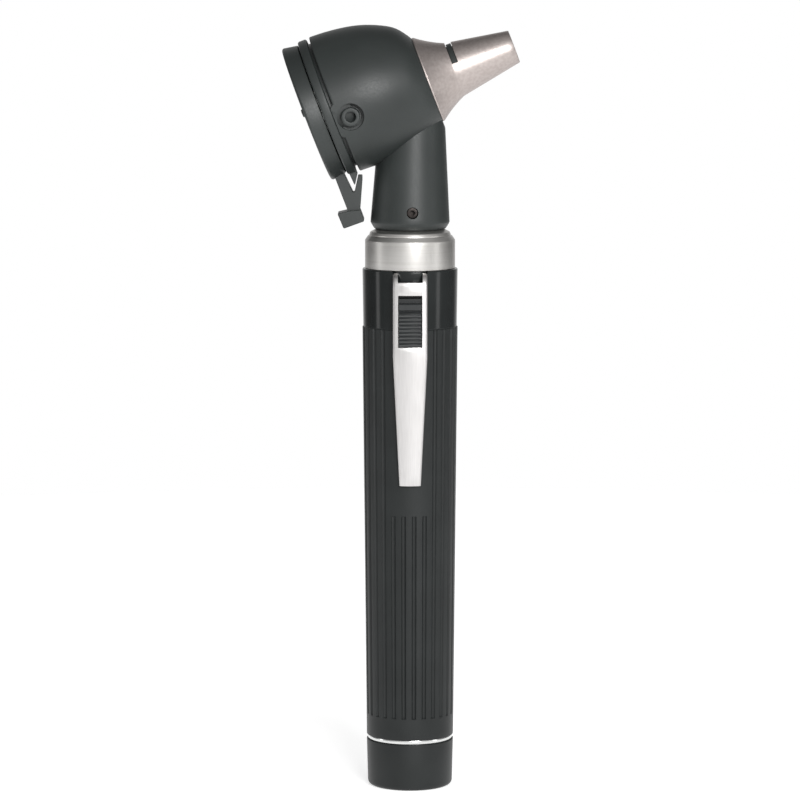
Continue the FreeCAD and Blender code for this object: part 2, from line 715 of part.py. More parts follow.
def contact_pin():
    """The rivet that carries the current from the upper cell to the lamp."""
    foot = TUBE_TOP + PIN_SEAT_GAP
    return turned(
        [
            (foot, 0),
            (foot, PIN_HEAD_R),
            (HOLDER_Z, PIN_HEAD_R),
            (HOLDER_Z, PIN_R),
            (HOLDER_Z + HOLDER_H, PIN_R),
            (HOLDER_Z + HOLDER_H, PIN_HEAD_R),
            (HOLDER_Z + HOLDER_H + PIN_HEAD_H, PIN_HEAD_R),
            (PIN_TOP, PIN_R),
            (PIN_TOP, 0),
        ],
        UP,
    )


def neck_insert():
    """The metal sleeve in the neck, with three bayonet lugs under the collar's lip."""
    flange_top = LAMP_Z + LAMP_TIP_H + LAMP_FLANGE_H
    solid = turned(
        [
            (INSERT_FOOT_Z, LAMP_FLANGE_R),
            (INSERT_FOOT_Z, BAYONET_R),
            (NECK_Z, BAYONET_R),
            (NECK_Z, NECK_SOCKET_R),
            (NECK_Z + INSERT_TOP_RISE, NECK_SOCKET_R),
            (NECK_Z + INSERT_TOP_RISE, INSERT_BORE_R),
            (flange_top, INSERT_BORE_R),
            (flange_top, LAMP_FLANGE_R),
        ],
        UP,
    )
    for number in range(LUG_COUNT):
        angle = number * 360.0 / LUG_COUNT
        lug = sector(LUG_R, LUG_DEG / 2, angle, INSERT_FOOT_Z, INSERT_FOOT_Z + LUG_H)
        inside = tube(NECK_SOCKET_R, 0, INSERT_FOOT_Z, INSERT_FOOT_Z + LUG_H)
        solid = solid.fuse(lug.cut(inside))
    return solid.cut(screw_rod(SET_SCREW_R, 0, NECK_R)).removeSplitter()


def screw_rod(radius, start, end):
    """A radial rod at the set screw's place. It starts so far past the screw's inner end."""
    angle = math.radians(SET_SCREW_TURN_DEG)
    out = V(math.sin(angle), -math.cos(angle), 0)
    foot = INSERT_BORE_R + SET_SCREW_INSET + start
    place = out * foot + V(0, 0, NECK_Z + SET_SCREW_RISE)
    return Part.makeCylinder(radius, end - foot, place, out)


def set_screw():
    """The grub screw that keeps the insert in the neck, with its driving socket."""
    end = NECK_R - SET_SCREW_SINK
    socket_start = end - SET_SCREW_SOCKET_DEPTH - INSERT_BORE_R - SET_SCREW_INSET
    return screw_rod(SET_SCREW_R, 0, end).cut(screw_rod(SET_SCREW_SOCKET_R, socket_start, end))


def barrel_form(wall, start, end):
    """The barrel's outside or, with a wall, its hollow, between two places on the sight line."""
    rings = []
    stations = [(-BARREL_LEAD_IN,) + BARREL_STATIONS[0][1:]] + list(BARREL_STATIONS)
    for share, rise, drop in stations:
        radius = (rise + drop) / 2 * BARREL_R - wall
        middle = (rise - drop) / 2 * BARREL_R
        place = V(BARREL_U + share * BARREL_LEN, 0, middle)
        rings.append(Part.Wire(Part.makeCircle(radius, place, SIGHT)))
    form = Part.makeLoft(rings, True, False)
    reach = BARREL_R + PAST
    return form.common(block(start, end, -reach, reach, -reach, reach))


def port_rod(radius, y_out, y_in):
    """A rod square to the side of the barrel, at the insufflation port."""
    place = V(PORT_AHEAD, -y_out, -PORT_DROP)
    return Part.makeCylinder(radius, y_out - y_in, place, SIDEWAYS)


def guide_path(radius):
    """A bent rod of the light guide's form: up from the lamp, round a bend, on to the cone."""
    bend_z = GUIDE_Z + GUIDE_RISE
    rise = Part.makeCylinder(radius, GUIDE_RISE, V(0, 0, GUIDE_Z), UP)
    ring = Part.Face(Part.Wire(Part.makeCircle(radius, V(0, 0, bend_z), UP)))
    bend_centre = V(GUIDE_BEND_R, 0, bend_z)
    bend = ring.revolve(bend_centre, SIDEWAYS, GUIDE_BEND_DEG)
    angle = math.radians(GUIDE_BEND_DEG)
    away = V(-math.cos(angle), 0, math.sin(angle)) * GUIDE_BEND_R
    heading = V(math.sin(angle), 0, math.cos(angle))
    run = Part.makeCylinder(radius, GUIDE_REACH, bend_centre + away, heading)
    return rise.fuse([bend, run])


def head_barrel():
    """The moulded head shell: an eccentric bullet form, hollow, with a boss round the port.

    The boss is flush with the skin and bridges the groove between the barrel and the rear ring.
    """
    boss = port_rod(PORT_BOSS_R, BARREL_R + PAST, PORT_BACK_Y)
    bridge = boss.common(barrel_form(0, GROOVE_U, BARREL_FRONT))
    shell = barrel_form(0, BARREL_U, BARREL_FRONT).fuse(bridge)
    cavity = barrel_form(BARREL_WALL, BARREL_U + BORE_LEN / 2, BARREL_FRONT - BARREL_FRONT_WALL)
    bore = tube(SPIGOT_R, 0, BARREL_U, BARREL_U + BORE_LEN, SIGHT)
    shell = shell.cut(cavity.fuse(bore).cut(boss))
    shell = shell.cut(port_rod(PORT_RECESS_R, BARREL_R + PAST, PORT_FLOOR_Y))
    shell = shell.cut(port_rod(NIPPLE_SEAT_R, PORT_FLOOR_Y, PORT_BACK_Y))
    front = on_cone_axis(tube(CONE_SPIGOT_R, 0, -BARREL_FRONT_WALL, 0, SIGHT))
    shell = in_head(shell.cut(front))
    return shell.cut(guide_path(GUIDE_R)).removeSplitter()


def neck():
    """The tapering neck, saddled to the underside of the barrel."""
    foot = Part.makeCone(NECK_FOOT_R, NECK_R, NECK_CHAMFER_H, V(0, 0, NECK_Z), UP)
    lower = Part.Wire(Part.makeCircle(NECK_R, V(0, 0, NECK_Z + NECK_CHAMFER_H), UP))
    upper = Part.Wire(Part.makeCircle(NECK_TOP_R, V(NECK_LEAN, 0, NECK_Z + NECK_H), UP))
    solid = foot.fuse(Part.makeLoft([lower, upper], True, True))
    solid = solid.cut(in_head(barrel_form(0, GROOVE_U, BARREL_FRONT)))
    past_front = block(0, BARREL_R, -BARREL_R, BARREL_R, -BARREL_R, BARREL_R)
    past_front.translate(V(BARREL_FRONT, 0, 0))
    solid = solid.cut(in_head(past_front))
    solid = solid.cut(tube(NECK_SOCKET_R, 0, NECK_Z, NECK_Z + INSERT_TOP_RISE))
    solid = solid.cut(tube(LAMP_CHAMBER_R, 0, NECK_Z, GUIDE_Z))
    solid = solid.cut(screw_rod(SET_SCREW_R, 0, NECK_R + PAST))
    solid = solid.cut(guide_path(GUIDE_R))
    return max(solid.Solids, key=lambda piece: piece.Volume)


def lamp_base():
    """The lamp's metal shell, with its locating flange."""
    foot = LAMP_Z + LAMP_TIP_H
    shell = tube(INSERT_BORE_R, 0, foot, GLASS_Z)
    return shell.fuse(tube(LAMP_FLANGE_R, 0, foot, foot + LAMP_FLANGE_H))


def lamp_tip():
    """The solder tip under the lamp."""
    return Part.makeCone(LAMP_TIP_FOOT_R, LAMP_TIP_R, LAMP_TIP_H, V(0, 0, LAMP_Z), UP)


def lamp_bulb():
    """The glass envelope with its round lens end."""
    top = GLASS_Z + LAMP_GLASS_H
    slant = LAMP_GLASS_R * math.sqrt(0.5)
    return turned(
        [
            (GLASS_Z, 0),
            (GLASS_Z, LAMP_GLASS_R),
            (top, LAMP_GLASS_R),
            ((top + slant, slant), (top + LAMP_GLASS_R, 0)),
        ],
        UP,
    )


def nipple():
    """The insufflation tube: a wider seat in the boss and a bevelled tip inside the recess."""
    seat = port_rod(NIPPLE_SEAT_R, PORT_FLOOR_Y, PORT_BACK_Y)
    stem = port_rod(NIPPLE_R, PORT_FACE_Y - NIPPLE_TIP_BEVEL, PORT_FLOOR_Y)
    tip = V(PORT_AHEAD, -PORT_FACE_Y, -PORT_DROP)
    tip_r = NIPPLE_R - NIPPLE_TIP_BEVEL
    bevel = Part.makeCone(tip_r, NIPPLE_R, NIPPLE_TIP_BEVEL, tip, SIDEWAYS)
    solid = seat.fuse([stem, bevel])
    return in_head(solid.cut(port_rod(NIPPLE_BORE_R, PORT_FACE_Y, PORT_BACK_Y)))


def rear_ring():
    """The bezel behind the barrel, with a spigot, the pin's hole and a pointed catch tongue."""
    bend = RING_EDGE_R * (1 - math.sqrt(0.5))
    spigot_r = SPIGOT_R - SPIGOT_PLAY
    ring = turned(
        [
            (RING_U, RING_BORE_R),
            (RING_U, RING_R - RING_EDGE_R),
            ((RING_U + bend, RING_R - bend), (RING_U + RING_EDGE_R, RING_R)),
            (GROOVE_U - RING_EDGE_R, RING_R),
            ((GROOVE_U - bend, RING_R - bend), (GROOVE_U, RING_R - RING_EDGE_R)),
            (GROOVE_U, spigot_r),
            (BARREL_U + BORE_LEN, spigot_r),
            (BARREL_U + BORE_LEN, RING_SPIGOT_BORE_R),
            (GROOVE_U, RING_SPIGOT_BORE_R),
            (GROOVE_U, RING_BORE_R),
        ],
        SIGHT,
    )
    lean = (FINGER_TOP_BACK[0] - FORK_ROOT[0]) / (FORK_ROOT[1] - FINGER_TOP_BACK[1])
    side_gap = TONGUE_GAP * math.sqrt(1 + lean * lean)
    tip_back = RING_U + TONGUE_TIP_BACK
    tip_drop = FINGER_TOP_BACK[1] + (FINGER_TOP_BACK[0] - side_gap - tip_back) / lean
    front_drop = FINGER_TOP_BACK[1] + (FINGER_TOP_BACK[0] - side_gap - GROOVE_U) / lean
    tongue = side_plate(
        [
            (RING_U + TONGUE_BACK, RING_R - TONGUE_ROOT),
            (GROOVE_U, RING_R - TONGUE_ROOT),
            (GROOVE_U, front_drop),
            (tip_back, tip_drop),
        ],
        TONGUE_HALF,
    )
    solid = ring.fuse(tongue)
    hole = Part.makeCylinder(PIVOT_R, RING_H, V(RING_U, 0, PIVOT_RISE), SIGHT)
    notch = port_rod(PORT_BOSS_R + PORT_BOSS_PLAY, BARREL_R + PAST, 0)
    way_in = block(GROOVE_U, BARREL_FRONT, -BARREL_R - PAST, 0, -BARREL_R, BARREL_R)
    return in_head(solid.cut([hole, notch.common(way_in)]).removeSplitter())


def pivot_pin():
    """The headed pin on which the lens frame swings."""
    head = Part.makeCylinder(PIVOT_HEAD_R, PIVOT_HEAD_T, V(PIVOT_PLAY, 0, PIVOT_RISE), SIGHT)
    shank_u = PIVOT_PLAY + PIVOT_HEAD_T
    shank = Part.makeCylinder(PIVOT_R, GROOVE_U - shank_u, V(shank_u, 0, PIVOT_RISE), SIGHT)
    return in_head(head.fuse(shank))


def lens_frame():
    """The swinging lens frame: a tapered rim, a fork lever that clips on the tongue, and a foot."""
    bend = FRAME_EDGE_R * (1 - math.sqrt(0.5))
    rim = turned(
        [
            (0, FRAME_APERTURE_R + FRAME_LIP_T / 2),
            (0, FRAME_R - FRAME_EDGE_R),
            ((bend, FRAME_R - bend), (FRAME_EDGE_R, FRAME_R)),
            (FRAME_T, FRAME_FRONT_R),
            (FRAME_T, SEAT_R),
            (FRAME_LIP_T, SEAT_R),
            (FRAME_LIP_T, FRAME_APERTURE_R),
            (FRAME_LIP_T / 2, FRAME_APERTURE_R),
        ],
        SIGHT,
    )
    root = FRAME_FRONT_R - LEVER_ROOT
    neck_drop = FOOT_TOP + FOOT_SLANT
    lever = side_plate(
        [
            (LEG_BACK, root),
            (LEG_FRONT, root),
            (LEG_FRONT, FRAME_R),
            FORK_ROOT,
            FINGER_TOP_BACK,
            FINGER_TOP_FRONT,
            FINGER_SHOULDER,
            (FOOT_FRONT, neck_drop),
            (LEG_BACK, neck_drop),
        ],
        LEVER_HALF,
    )
    foot = side_plate(
        [
            (FOOT_BACK, FOOT_TOP - FOOT_LIFT),
            (LEG_BACK, FOOT_TOP),
            (FOOT_FRONT, neck_drop),
            (FOOT_FRONT, FOOT_END),
            (FOOT_BACK + FOOT_LEAN, FOOT_END - FOOT_LEAN),
        ],
        FOOT_HALF,
    )
    nib_y = -(FRAME_APERTURE_R + FRAME_R) / 2
    nib = Part.makeCylinder(NIB_R, NIB_H + NIB_ROOT, V(-NIB_H, nib_y, 0), SIGHT)
    solid = rim.fuse([lever, foot, nib])
    place = V(-PIVOT_PLAY, 0, PIVOT_RISE)
    hole = Part.makeCylinder(PIVOT_R + PIVOT_PLAY, FRAME_T + PAST, place, SIGHT)
    sink_depth = PIVOT_HEAD_T + 3 * PIVOT_PLAY
    sink = Part.makeCylinder(PIVOT_HEAD_R + PIVOT_PLAY, sink_depth, place, SIGHT)
    return in_head(solid.cut([hole, sink]).removeSplitter())


def lens():
    """The magnifier: flat behind and bulging forward."""
    front = FRAME_LIP_T + LENS_EDGE_T
    sphere_r = (LENS_R**2 + LENS_BULGE**2) / (2 * LENS_BULGE)
    half = LENS_R / 2
    middle_bulge = math.sqrt(sphere_r**2 - half**2) - (sphere_r - LENS_BULGE)
    solid = turned(
        [
            (FRAME_LIP_T, 0),
            (FRAME_LIP_T, LENS_R),
            (front, LENS_R),
            ((front + middle_bulge, half), (front + LENS_BULGE, 0)),
        ],
        SIGHT,
    )
    return in_head(solid)


def lens_retainer():
    """The snap ring that holds the lens against the frame's lip."""
    start = FRAME_LIP_T + LENS_EDGE_T
    ring = tube(SEAT_R, SEAT_R - RETAINER_W, start, start + RETAINER_T, SIGHT)
    clear = lens_bulge_room(start)
    return in_head(ring.cut(clear))


def lens_bulge_room(start):
    """The space that the lens's bulge takes from the retainer."""
    sphere_r = (LENS_R**2 + LENS_BULGE**2) / (2 * LENS_BULGE)
    return Part.makeSphere(sphere_r, V(start - sphere_r + LENS_BULGE, 0, 0))


def cone_points(wall):
    """The cone's outer rim, waist, root and land or, with a wall, those of its inside."""
    taper = (CONE_FLARE_R - CONE_TIP_R) / (CONE_LEN - CONE_FLARE_LEN)
    rim = (CONE_RIM_T, CONE_R - wall)
    root = (CONE_FLARE_LEN, CONE_FLARE_R - wall)
    waist = ((rim[0] + root[0]) / 2, (rim[1] + root[1]) / 2 - CONE_FLARE_HOLLOW)
    land = (CONE_LEN - CONE_LAND_LEN, CONE_TIP_R + taper * CONE_LAND_LEN - wall)
    return rim, waist, root, land


def over_the_top(radius, half_deg, start, width):
    """A pie slice about the cone's axis, its middle upwards."""
    slice_solid = Part.makeCylinder(radius, width, CENTRE, UP, 2 * half_deg)
    slice_solid.rotate(CENTRE, UP, 180 - half_deg)
    slice_solid.rotate(CENTRE, SIDEWAYS, 90)
    slice_solid.translate(SIGHT * start)
    return slice_solid


def speculum_carrier():
    """The metal cone: a flared base, a thin taper, a cross slot and a round bore at its tip."""
    rim, waist, root, _ = cone_points(0)
    _, in_waist, in_root, in_land = cone_points(CONE_WALL)
    spigot_bore = CONE_SPIGOT_R - CONE_SPIGOT_WALL
    tip_bore = CONE_TIP_R - CONE_WALL
    in_start = CONE_RIM_T + CONE_WALL + CONE_ROOT_LEN
    solid = turned(
        [
            (-BARREL_FRONT_WALL, spigot_bore),
            (-BARREL_FRONT_WALL, CONE_SPIGOT_R),
            (0, CONE_SPIGOT_R),
            (0, CONE_R),
            rim,
            (waist, root),
            (CONE_LEN, CONE_TIP_R),
            (CONE_LEN, tip_bore),
            (in_land[0], tip_bore),
            in_root,
            (in_waist, (in_start, spigot_bore)),
        ],
        SIGHT,
    )
    slot = over_the_top(CONE_R, CONE_SLOT_HALF_DEG, CONE_FLARE_LEN, CONE_SLOT_W)
    return in_head(on_cone_axis(solid.cut(slot)))


def liner_form(inset):
    """The liner's outer form or, with an inset, its hollow."""
    taper = (CONE_FLARE_R - CONE_TIP_R) / (CONE_LEN - CONE_FLARE_LEN)
    start = LINER_INSET - BARREL_FRONT_WALL
    flange_r = CONE_SPIGOT_R - CONE_SPIGOT_WALL
    shoulder_r = flange_r - LINER_PLAY
    root_r = CONE_FLARE_R - CONE_WALL - LINER_PLAY
    end_r = root_r - taper * (LINER_LEN - CONE_FLARE_LEN)
    return turned(
        [
            (start, 0),
            (start, flange_r - inset),
            (start + LINER_FLANGE_T, flange_r - inset),
            (start + LINER_FLANGE_T, shoulder_r - inset),
            (LINER_SHOULDER_LEN, shoulder_r - inset),
            (CONE_FLARE_LEN, root_r - inset),
            (LINER_LEN, end_r - inset),
            (LINER_LEN, 0),
        ],
        SIGHT,
    )


def sight_tube():
    """The dark liner that keeps stray light from the eye, with its rib in the cone's cross slot."""
    rib = over_the_top(
        CONE_FLARE_R - LINER_RIB_SINK,
        CONE_SLOT_HALF_DEG - LINER_RIB_PLAY_DEG,
        CONE_FLARE_LEN + LINER_RIB_PLAY,
        CONE_SLOT_W - 2 * LINER_RIB_PLAY,
    )
    solid = liner_form(0).fuse(rib).cut(liner_form(LINER_WALL))
    return in_head(on_cone_axis(solid)).cut(guide_path(GUIDE_R)).removeSplitter()


PIECES = {
    "handle_tube": handle_tube,
    "tube_insert": tube_insert,
    "collar": collar,
    "pocket_clip": pocket_clip,
    "battery_lower": lambda: cell(CELL_FOOT_Z),
    "battery_upper": lambda: cell(CELL_FOOT_Z + CELL_LEN),
    "contact_holder": contact_holder,
    "contact_pin": contact_pin,
    "contact_strip": contact_strip,
    "switch_slider": switch_slider,
    "switch_contact": switch_contact,
    "end_cap": end_cap,
    "spring_plate": spring_plate,
    "battery_spring": battery_spring,
    "neck": neck,
    "neck_insert": neck_insert,
    "set_screw": set_screw,
    "lamp_base": lamp_base,
    "lamp_tip": lamp_tip,
    "lamp_bulb": lamp_bulb,
    "light_guide": lambda: guide_path(GUIDE_R).removeSplitter(),
    "head_barrel": head_barrel,
    "insufflation_nipple": nipple,
    "rear_ring": rear_ring,
    "pivot_pin": pivot_pin,
    "lens_frame": lens_frame,
    "lens": lens,
    "lens_retainer": lens_retainer,
    "speculum_carrier": speculum_carrier,
    "sight_tube": sight_tube,
}

os.makedirs("parts", exist_ok=True)
for name, make in PIECES.items():
    shape = make()
    solids = shape.Solids
    print(name, len(solids), "solids", round(shape.Volume, 2), "mm3", shape.isValid())
    if len(solids) == 1:
        shape = solids[0]
    shape.exportStep("parts/" + name + ".step")
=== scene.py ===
# %% [markdown]
# A pocket otoscope: a battery handle with a switch and a pocket clip, and a head with a
# magnifier and a metal cone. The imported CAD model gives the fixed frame, so every size below
# is the CAD's own, in millimetres, and every piece goes where its CAD node is. The CAD facets
# are coarse and their edges sharp. This lesson rebuilds each piece that shows as a smooth
# surface with small rounded edges, and gives each one the finish of the real material.

# %% Load the frame
import bmesh
import bpy
import math
import numpy as np
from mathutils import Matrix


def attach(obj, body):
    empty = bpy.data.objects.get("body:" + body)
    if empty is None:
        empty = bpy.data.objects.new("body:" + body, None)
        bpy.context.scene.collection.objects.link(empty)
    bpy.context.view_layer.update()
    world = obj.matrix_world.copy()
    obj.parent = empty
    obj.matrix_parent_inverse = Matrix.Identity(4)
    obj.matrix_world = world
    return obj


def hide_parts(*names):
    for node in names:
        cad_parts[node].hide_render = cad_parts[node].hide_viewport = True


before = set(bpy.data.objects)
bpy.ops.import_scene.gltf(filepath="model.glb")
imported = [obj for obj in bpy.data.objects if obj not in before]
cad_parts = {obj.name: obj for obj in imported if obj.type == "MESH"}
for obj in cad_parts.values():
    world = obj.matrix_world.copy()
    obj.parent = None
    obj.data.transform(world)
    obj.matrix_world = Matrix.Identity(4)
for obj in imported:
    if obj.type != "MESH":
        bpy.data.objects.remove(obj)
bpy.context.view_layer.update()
MM = 0.001
TAU = 2 * np.pi

# %% [markdown]
# Most pieces here are turned, moulded or pressed, so a handful of numpy helpers makes them
# all. A shape is a pair: its points, and a list of arrays of corner numbers. Blender's own
# primitives and the sculpting tools could also make them, but a formula keeps each size
# exact and easy to change.

# %% Shapes as arrays


def grid_faces(rows, columns, close_rows=False, close_columns=False):
    """Four-cornered faces over a grid of points: corner number = row * columns + column."""
    row = np.arange(rows if close_rows else rows - 1)
    column = np.arange(columns if close_columns else columns - 1)
    r, c = np.meshgrid(row, column, indexing="ij")
    up, over = (r + 1) % rows, (c + 1) % columns
    corners = [r * columns + c, r * columns + over, up * columns + over, up * columns + c]
    return np.stack(corners, -1).reshape(-1, 4)


def rounded(corners, radii, steps=6):
    """A closed outline with rounded corners.

    At each corner the arc's centre lies on the line that halves the corner, at
    radius / sin(half angle), and the arc swings between the two points where it
    touches the sides.
    """
    p = np.array(corners, float)
    radius = np.broadcast_to(np.array(radii, float), len(p))[:, None]
    back = np.roll(p, 1, 0) - p
    ahead = np.roll(p, -1, 0) - p
    back /= np.linalg.norm(back, axis=1)[:, None]
    ahead /= np.linalg.norm(ahead, axis=1)[:, None]
    half = np.arccos(np.clip((back * ahead).sum(1), -1, 1))[:, None] / 2
    middle = (back + ahead) / np.linalg.norm(back + ahead, axis=1)[:, None]
    centre = p + middle * radius / np.sin(half)
    start = p + back * radius / np.tan(half) - centre
    end = p + ahead * radius / np.tan(half) - centre
    turn = (np.pi - 2 * half)[:, None]
    share = np.linspace(0, 1, steps)[None, :, None]
    swing = start[:, None] * np.sin((1 - share) * turn) + end[:, None] * np.sin(share * turn)
    return (centre[:, None] + swing / np.sin(turn)).reshape(-1, 2)


def lathe(profile, columns=160):
    """Turns a closed (radius, height) profile about Z: x = r cos a, y = r sin a, z = height."""
    angle = np.linspace(0, TAU, columns, endpoint=False)
    r, z = np.array(profile)[:, 0, None], np.array(profile)[:, 1, None]
    points = np.stack([r * np.cos(angle), r * np.sin(angle), z + 0 * angle], -1)
    return points.reshape(-1, 3), [grid_faces(len(r), columns, True, True)]


def prism(outline, start, end):
    """A flat outline (a, b) drawn out along the third axis from start to end."""
    outline = np.array(outline, float)
    count = len(outline)
    low = np.column_stack([outline, np.full(count, start)])
    high = np.column_stack([outline, np.full(count, end)])
    here = np.arange(count)
    there = np.roll(here, -1)
    sides = np.column_stack([here, there, there + count, here + count])
    return np.vstack([low, high]), [sides, here[None, ::-1], here[None] + count]


def joined(*shapes):
    """Several shapes as one: later corner numbers move up by the number of points before."""
    starts = np.cumsum([0] + [len(points) for points, _ in shapes])
    blocks = [block + start for (_, faces), start in zip(shapes, starts) for block in faces]
    return np.vstack([points for points, _ in shapes]), blocks


print("helpers for grids, rounded outlines, turned and drawn-out shapes are ready")

# %% [markdown]
# A mesh is made from a shape, its doubled points are merged, so poles and seams close, and
# its faces are turned outwards. Small cuts, such as a slot or a screw's hole, are made the
# way a workshop makes them: a closed tool body is taken away from the finished blank.

# %% From shape to piece


def mesh_of(shape, closed=True):
    """A Blender mesh in metres, merged, and with its faces outwards if it is closed."""
    points, blocks = shape
    mesh = bpy.data.meshes.new("blank")
    faces = [face for block in blocks for face in block.tolist()]
    mesh.from_pydata((np.array(points) * MM).tolist(), [], faces)
    work = bmesh.new()
    work.from_mesh(mesh)
    bmesh.ops.remove_doubles(work, verts=work.verts, dist=1e-7)
    if closed:
        bmesh.ops.recalc_face_normals(work, faces=work.faces)
    work.to_mesh(mesh)
    work.free()
    return mesh


def put(name, data):
    """An object that holds the data, linked into the scene."""
    made = bpy.data.objects.new(name, data)
    bpy.context.scene.collection.objects.link(made)
    return made


def round_edges(made, width):
    """Rounds every edge that turns by more than 40 degrees, over a width in millimetres."""
    edge = made.modifiers.new("rounded_edges", "BEVEL")
    edge.width = width * MM
    edge.segments = 2
    edge.limit_method = "ANGLE"
    edge.angle_limit = math.radians(40)


def cut(mesh, *tools):
    """The mesh less each closed tool shape."""
    blank = put("blank", mesh)
    cutters = [put("cutter", mesh_of(tool)) for tool in tools]
    for cutter in cutters:
        modifier = blank.modifiers.new("cut", "BOOLEAN")
        modifier.operation = "DIFFERENCE"
        modifier.solver = "EXACT"
        modifier.object = cutter
    bpy.context.view_layer.update()
    graph = bpy.context.evaluated_depsgraph_get()
    result = bpy.data.meshes.new_from_object(blank.evaluated_get(graph))
    for used in [blank, *cutters]:
        bpy.data.objects.remove(used)
    return result


def together(*meshes):
    """One mesh that holds several closed shells."""
    work = bmesh.new()
    for mesh in meshes:
        work.from_mesh(mesh)
    result = bpy.data.meshes.new("together")
    work.to_mesh(result)
    work.free()
    return result


def piece(name, mesh, body, look, slot, *nodes, sharp=32.0, bevel=0.0):
    """A named object on its CAD body, smooth except where faces meet above the sharp angle."""
    mesh.name = name
    mesh.materials.clear()
    mesh.materials.append(look)
    mesh.shade_smooth()
    mesh.set_sharp_from_angle(angle=math.radians(sharp))
    made = put(name, mesh)
    if bevel:
        round_edges(made, bevel)
    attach(made, body)
    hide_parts(*nodes)
    corners = sum(len(face.vertices) - 2 for face in mesh.polygons)
    print(name, corners, "triangles on", body)
    return made


# %% [markdown]
# The head leans: its line of sight rises 21 degrees above the horizontal. Its pieces are
# drawn on that line, as (ahead, across, above) from the centre of the lens frame's rear
# face, and one turn and one shift put them on the handle.

# %% The head's own frame
TILT = math.radians(21)
EYE = np.array([-21.5, 0, 141.5])
AHEAD = np.array([math.cos(TILT), 0, math.sin(TILT)])
ABOVE = np.array([-math.sin(TILT), 0, math.cos(TILT)])


def in_head(shape):
    """Point = EYE + ahead * AHEAD + across * Y + above * ABOVE."""
    points, faces = shape
    turn = np.array([AHEAD, [0, 1, 0], ABOVE])
    return points @ turn + EYE, faces


def on_sight(profile, above=0.0, columns=160):
    """A (radius, ahead) profile turned about the line of sight, or a line above it."""
    points, faces = lathe(profile, columns)
    return in_head((points[:, [2, 1, 0]] + [0, 0, above], faces))


def side_plate(outline, half):
    """A plate from (ahead, below) pairs, as thick as twice its half width."""
    points, faces = prism(outline, -half, half)
    return in_head((points[:, [0, 2, 1]] * [1, 1, -1], faces))


print("the sight line passes", EYE, "and rises", round(math.degrees(TILT), 1), "degrees")

# %% [markdown]
# Finishes come first, because each piece is given its finish as it is made. Colours are
# written as they look on a screen, in hex, and one function turns them to the linear values
# that light is worked out in. Patterns are measured in real millimetres on Object
# coordinates: a noise with cells s millimetres wide has the scale 1000 / s.

# %% Helpers for finishes


def colour(code):
    """sRGB hex to linear: c / 12.92 below 0.04045, else ((c + 0.055) / 1.055) ** 2.4."""
    c = np.array([int(code[i : i + 2], 16) for i in (1, 3, 5)]) / 255
    linear = np.where(c <= 0.04045, c / 12.92, ((c + 0.055) / 1.055) ** 2.4)
    return (*linear.tolist(), 1.0)


def add(tree, kind, inputs=None, **settings):
    """Adds a node, sets its properties, and fills its inputs with values or links."""
    node = tree.nodes.new(kind)
    for key, value in settings.items():
        setattr(node, key, value)
    for socket, value in (inputs or {}).items():
        if isinstance(value, bpy.types.NodeSocket):
            tree.links.new(value, node.inputs[socket])
        else:
            node.inputs[socket].default_value = value
    return node


def finish(name, dark, light, cloud_mm, grain_mm, rough, bump_mm, extra, stretch=(1, 1, 1)):
    """A finish made of two noises on Object coordinates.

    The broad one, cloud_mm wide, runs the colour from dark to light. The fine one, grain_mm
    wide, runs the roughness over its pair and raises a bump of bump_mm. Both are drawn out
    by stretch, and extra holds the shader's own constants.
    """
    material = bpy.data.materials.new(name)
    material.use_nodes = True
    tree = material.node_tree
    tree.nodes.clear()
    place = add(tree, "ShaderNodeTexCoord").outputs["Object"]
    thin = [1 / long for long in stretch]
    mapped = add(tree, "ShaderNodeMapping", {"Vector": place, "Scale": thin}).outputs[0]
    cloud_in = {"Vector": mapped, "Scale": 1 / (cloud_mm * MM), "Detail": 2.0}
    grain_in = {"Vector": mapped, "Scale": 1 / (grain_mm * MM), "Detail": 2.0}
    cloud = add(tree, "ShaderNodeTexNoise", cloud_in).outputs[0]
    grain = add(tree, "ShaderNodeTexNoise", grain_in).outputs[0]
    share = add(tree, "ShaderNodeMapRange", {"Value": cloud, "From Min": 0.35, "From Max": 0.65})
    tints = {0: share.outputs[0], 6: colour(dark), 7: colour(light)}
    tint = add(tree, "ShaderNodeMix", tints, data_type="RGBA")
    span = {"Value": grain, "From Min": 0.35, "From Max": 0.65}
    gloss = add(tree, "ShaderNodeMapRange", {**span, "To Min": rough[0], "To Max": rough[1]})
    bump = add(tree, "ShaderNodeBump", {"Height": grain, "Distance": bump_mm * MM, "Strength": 0.6})
    linked = {
        "Base Color": tint.outputs[2], "Roughness": gloss.outputs[0], "Normal": bump.outputs[0],
    }
    shader = add(tree, "ShaderNodeBsdfPrincipled", {**extra, **linked})
    add(tree, "ShaderNodeOutputMaterial", {"Surface": shader.outputs[0]})
    return material, tree, shader


print("helpers for finishes are ready")

# %% [markdown]
# The handle and its cap are black ABS, injection moulded. Black ABS is really a very dark
# grey with a trace of green. The ribbed part comes out of an etched mould, so it is dull,
# while the smooth band under the collar is polished and shows narrow, clear streaks of the
# strip lights. One material does both: its roughness falls above the band's lower edge.

